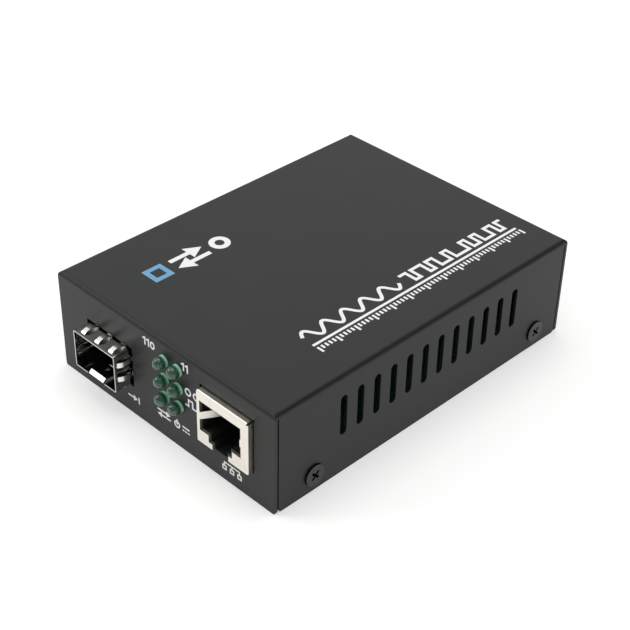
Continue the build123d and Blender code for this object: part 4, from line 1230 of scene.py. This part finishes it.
@dataclass(frozen=True)
class Patch:
    """A soft bright patch of the studio's walls, as gloss sees it.

    Attributes:
        towards: The direction of its middle.
        edge: The cosine at which it begins.
        full: The cosine at which it is fully bright.
        level: Its brightness, where 1 is white.
    """

    towards: tuple[float, float, float]
    edge: float
    full: float
    level: float


@dataclass(frozen=True)
class Softbox:
    """A square softbox that faces the object.

    Attributes:
        name: The lamp's name.
        place: Where it hangs, in metres.
        size: The width of its face, in metres.
        watts: Its power.
    """

    name: str
    place: tuple[float, float, float]
    size: float
    watts: float


# What the metal mirrors: the wall behind the object to the left, the ceiling, and light from below.
BACK_WALL = Patch((-0.68, 0.7, 0.2), edge=0.35, full=0.9, level=0.95)
CEILING = Patch((-0.5, 0.1, 0.86), edge=0.75, full=0.9, level=1.0)
FLOOR_BOUNCE = Patch((0.0, 0.0, -1.0), edge=-0.2, full=0.05, level=1.0)
# What lights the object.
OVERHEAD = Softbox("overhead_softbox", (0.0, 0.15, 1.1), size=1.0, watts=4.6)
FROM_LEFT = Softbox("left_softbox", (-0.75, -0.6, 0.65), size=0.6, watts=3.2)


@dataclass
class Studio:
    """A pale floor, soft light and the camera.

    Attributes:
        azimuth: The camera's turn round the object, in radians from straight ahead of the ports.
        elevation: Its height above the horizon, in radians.
        roll: Its small roll, in radians.
        position_mm: Where it stands.
        focal_px: Its focal length, in pixels of the picture.
        clip_m: The nearest and the farthest that it sees.
        floor_m: The floor's width.
        floor_colour: The floor's colour.
        floor_glow: What the floor adds of its own white round the object.
        far_glow: What it adds far from the object, where the softboxes don't reach.
        near_m: Where its glow begins to rise, from the object's middle.
        far_m: Where it is at its highest.
        ambient: The level of the light from all round.
        dim: The level of the walls between the bright patches, as gloss sees them.
        patches: The bright patches of its walls.
        softboxes: Its lamps.
    """

    azimuth: float = 0.77663
    elevation: float = 0.62258
    roll: float = 0.022218
    position_mm: tuple[float, float, float] = (195.16, -199.26, 209.46)
    focal_px: float = 1451.86
    clip_m: tuple[float, float] = (0.01, 50.0)
    floor_m: float = 6.0
    floor_colour: str = "#efefee"
    floor_glow: float = 0.37
    far_glow: float = 0.9
    near_m: float = 0.2
    far_m: float = 1.5
    ambient: float = 0.5
    dim: float = 0.12
    patches: tuple[Patch, ...] = (BACK_WALL, CEILING, FLOOR_BOUNCE)
    softboxes: tuple[Softbox, ...] = (OVERHEAD, FROM_LEFT)

    def shown(self, tree: bpy.types.NodeTree) -> bpy.types.NodeSocket:
        """Find the rays that should see the studio's white rather than its lamps.

        Args:
            tree: The node tree of the floor or the world.

        Returns:
            A socket that is 1 for such a ray, and else 0.
        """
        path = add_node(tree, "ShaderNodeLightPath")
        first, second, third = (path.outputs[ray.value] for ray in Seen)
        pair = add_node(tree, "ShaderNodeMath", {"operation": "MAXIMUM"}, {0: first, 1: second})
        every = add_node(tree, "ShaderNodeMath", {"operation": "MAXIMUM"}, {0: pair.outputs[0], 1: third})
        return every.outputs[0]

    def build_floor(self) -> None:
        """Lay the pale floor, which keeps the object's shadow."""
        deselect()
        bpy.ops.mesh.primitive_plane_add(size=self.floor_m)
        floor = bpy.context.object
        floor.name = "studio_floor"
        material = bpy.data.materials.new("pale_paper_sweep")
        material.use_nodes = True
        tree = material.node_tree
        tree.nodes.clear()
        place = add_node(tree, "ShaderNodeTexCoord").outputs["Object"]
        distance = add_node(tree, "ShaderNodeVectorMath", {"operation": "LENGTH"}, {0: place})
        level = add_node(
            tree,
            "ShaderNodeMapRange",
            {
                "From Min": self.near_m,
                "From Max": self.far_m,
                "To Min": self.floor_glow,
                "To Max": self.far_glow,
            },
            {"Value": distance.outputs["Value"]},
        )
        glow = add_node(
            tree, "ShaderNodeMath", {"operation": "MULTIPLY"}, {0: self.shown(tree), 1: level.outputs[0]}
        )
        paper = add_node(tree, "ShaderNodeBsdfDiffuse", {"Color": linear(self.floor_colour)})
        white = add_node(tree, "ShaderNodeEmission", {"Color": linear(WHITE)}, {"Strength": glow.outputs[0]})
        both = add_node(tree, "ShaderNodeAddShader", links={0: paper.outputs[0], 1: white.outputs[0]})
        add_node(tree, "ShaderNodeOutputMaterial", links={"Surface": both.outputs[0]})
        floor.data.materials.append(material)

    def bright_patch(
        self, tree: bpy.types.NodeTree, place: bpy.types.NodeSocket, patch: Patch
    ) -> bpy.types.NodeSocket:
        """Make a soft bright patch of the studio's walls.

        Args:
            tree: The world's node tree.
            place: The direction that a ray looks in.
            patch: The patch.

        Returns:
            The socket with the patch's brightness.
        """
        middle = tuple(Vector(patch.towards).normalized())
        facing = add_node(tree, "ShaderNodeVectorMath", {"operation": "DOT_PRODUCT", 1: middle}, {0: place})
        fade = add_node(
            tree,
            "ShaderNodeMapRange",
            {"From Min": patch.edge, "From Max": patch.full, "To Min": self.dim, "To Max": patch.level},
            {"Value": facing.outputs["Value"]},
        )
        return fade.outputs[0]

    def build_world(self) -> None:
        """Surround the object with even light, and with a white that only looks, never lights."""
        world = bpy.data.worlds.new("studio_world")
        bpy.context.scene.world = world
        world.use_nodes = True
        tree = world.node_tree
        tree.nodes.clear()
        place = add_node(tree, "ShaderNodeTexCoord").outputs["Generated"]
        level, *others = (self.bright_patch(tree, place, patch) for patch in self.patches)
        for other in others:
            brighter = add_node(tree, "ShaderNodeMath", {"operation": "MAXIMUM"}, {0: level, 1: other})
            level = brighter.outputs[0]
        light = add_node(tree, "ShaderNodeBackground", {"Color": linear(WHITE), "Strength": self.ambient})
        look = add_node(tree, "ShaderNodeBackground", {"Color": linear(WHITE)}, {"Strength": level})
        mix = add_node(
            tree, "ShaderNodeMixShader", links={0: self.shown(tree), 1: light.outputs[0], 2: look.outputs[0]}
        )
        path = add_node(tree, "ShaderNodeLightPath")
        white = add_node(tree, "ShaderNodeBackground", {"Color": linear(WHITE), "Strength": 1.0})
        last = add_node(
            tree,
            "ShaderNodeMixShader",
            links={0: path.outputs["Is Camera Ray"], 1: mix.outputs[0], 2: white.outputs[0]},
        )
        add_node(tree, "ShaderNodeOutputWorld", links={"Surface": last.outputs[0]})

    def add_softbox(self, box: Softbox) -> None:
        """Hang a softbox.

        Args:
            box: The softbox.
        """
        deselect()
        bpy.ops.object.light_add(type="AREA", location=box.place)
        lamp = bpy.context.object
        lamp.name = box.name
        lamp.data.shape = "SQUARE"
        lamp.data.size = box.size
        lamp.data.energy = box.watts
        lamp.rotation_euler = (-Vector(box.place)).to_track_quat("-Z", "Y").to_euler()

    def place_camera(self) -> None:
        """Stand the camera where the photograph was taken from."""
        sin_a, cos_a = math.sin(self.azimuth), math.cos(self.azimuth)
        sin_e, cos_e = math.sin(self.elevation), math.cos(self.elevation)
        back = Vector((sin_a * cos_e, -cos_a * cos_e, sin_e))
        right = Vector((cos_a, sin_a, 0))
        up = back.cross(right)
        sin_r, cos_r = math.sin(self.roll), math.cos(self.roll)
        across = right * cos_r + up * sin_r
        upward = up * cos_r - right * sin_r
        turn = Matrix((across, upward, back)).transposed().to_4x4()
        deselect()
        bpy.ops.object.camera_add()
        camera = bpy.context.object
        camera.matrix_world = Matrix.Translation(Vector(self.position_mm) * MM) @ turn
        camera.data.sensor_width = SENSOR_MM
        camera.data.lens = self.focal_px / IMAGE_WIDTH * SENSOR_MM
        camera.data.clip_start, camera.data.clip_end = self.clip_m
        bpy.context.scene.camera = camera

    def build(self) -> None:
        """Set up the floor, the light and the camera."""
        self.build_floor()
        self.build_world()
        for box in self.softboxes:
            self.add_softbox(box)
        self.place_camera()
        bpy.context.scene.view_settings.view_transform = "Standard"


def main() -> None:
    """Build the scene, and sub-assembly by sub-assembly."""
    logging.basicConfig(level=logging.INFO, format="%(message)s")
    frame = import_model()
    deselect()
    nodes = frame["nodes"]
    made: dict[str, bpy.types.Material] = {}
    case = Case(nodes)
    case.dress(made)
    case.print_front(material_of(WHITE_INK, made))
    case.print_top(material_of(WHITE_INK, made), material_of(BLUE_INK, made))
    lamps = LampBlock(nodes)
    lamps.dress(made)
    lamps.build_lamps(made)
    for group in (FibrePort(nodes), CopperPort(nodes), Electronics(nodes)):
        group.dress(made)
    Studio().build()


if __name__ == "__main__":
    main()
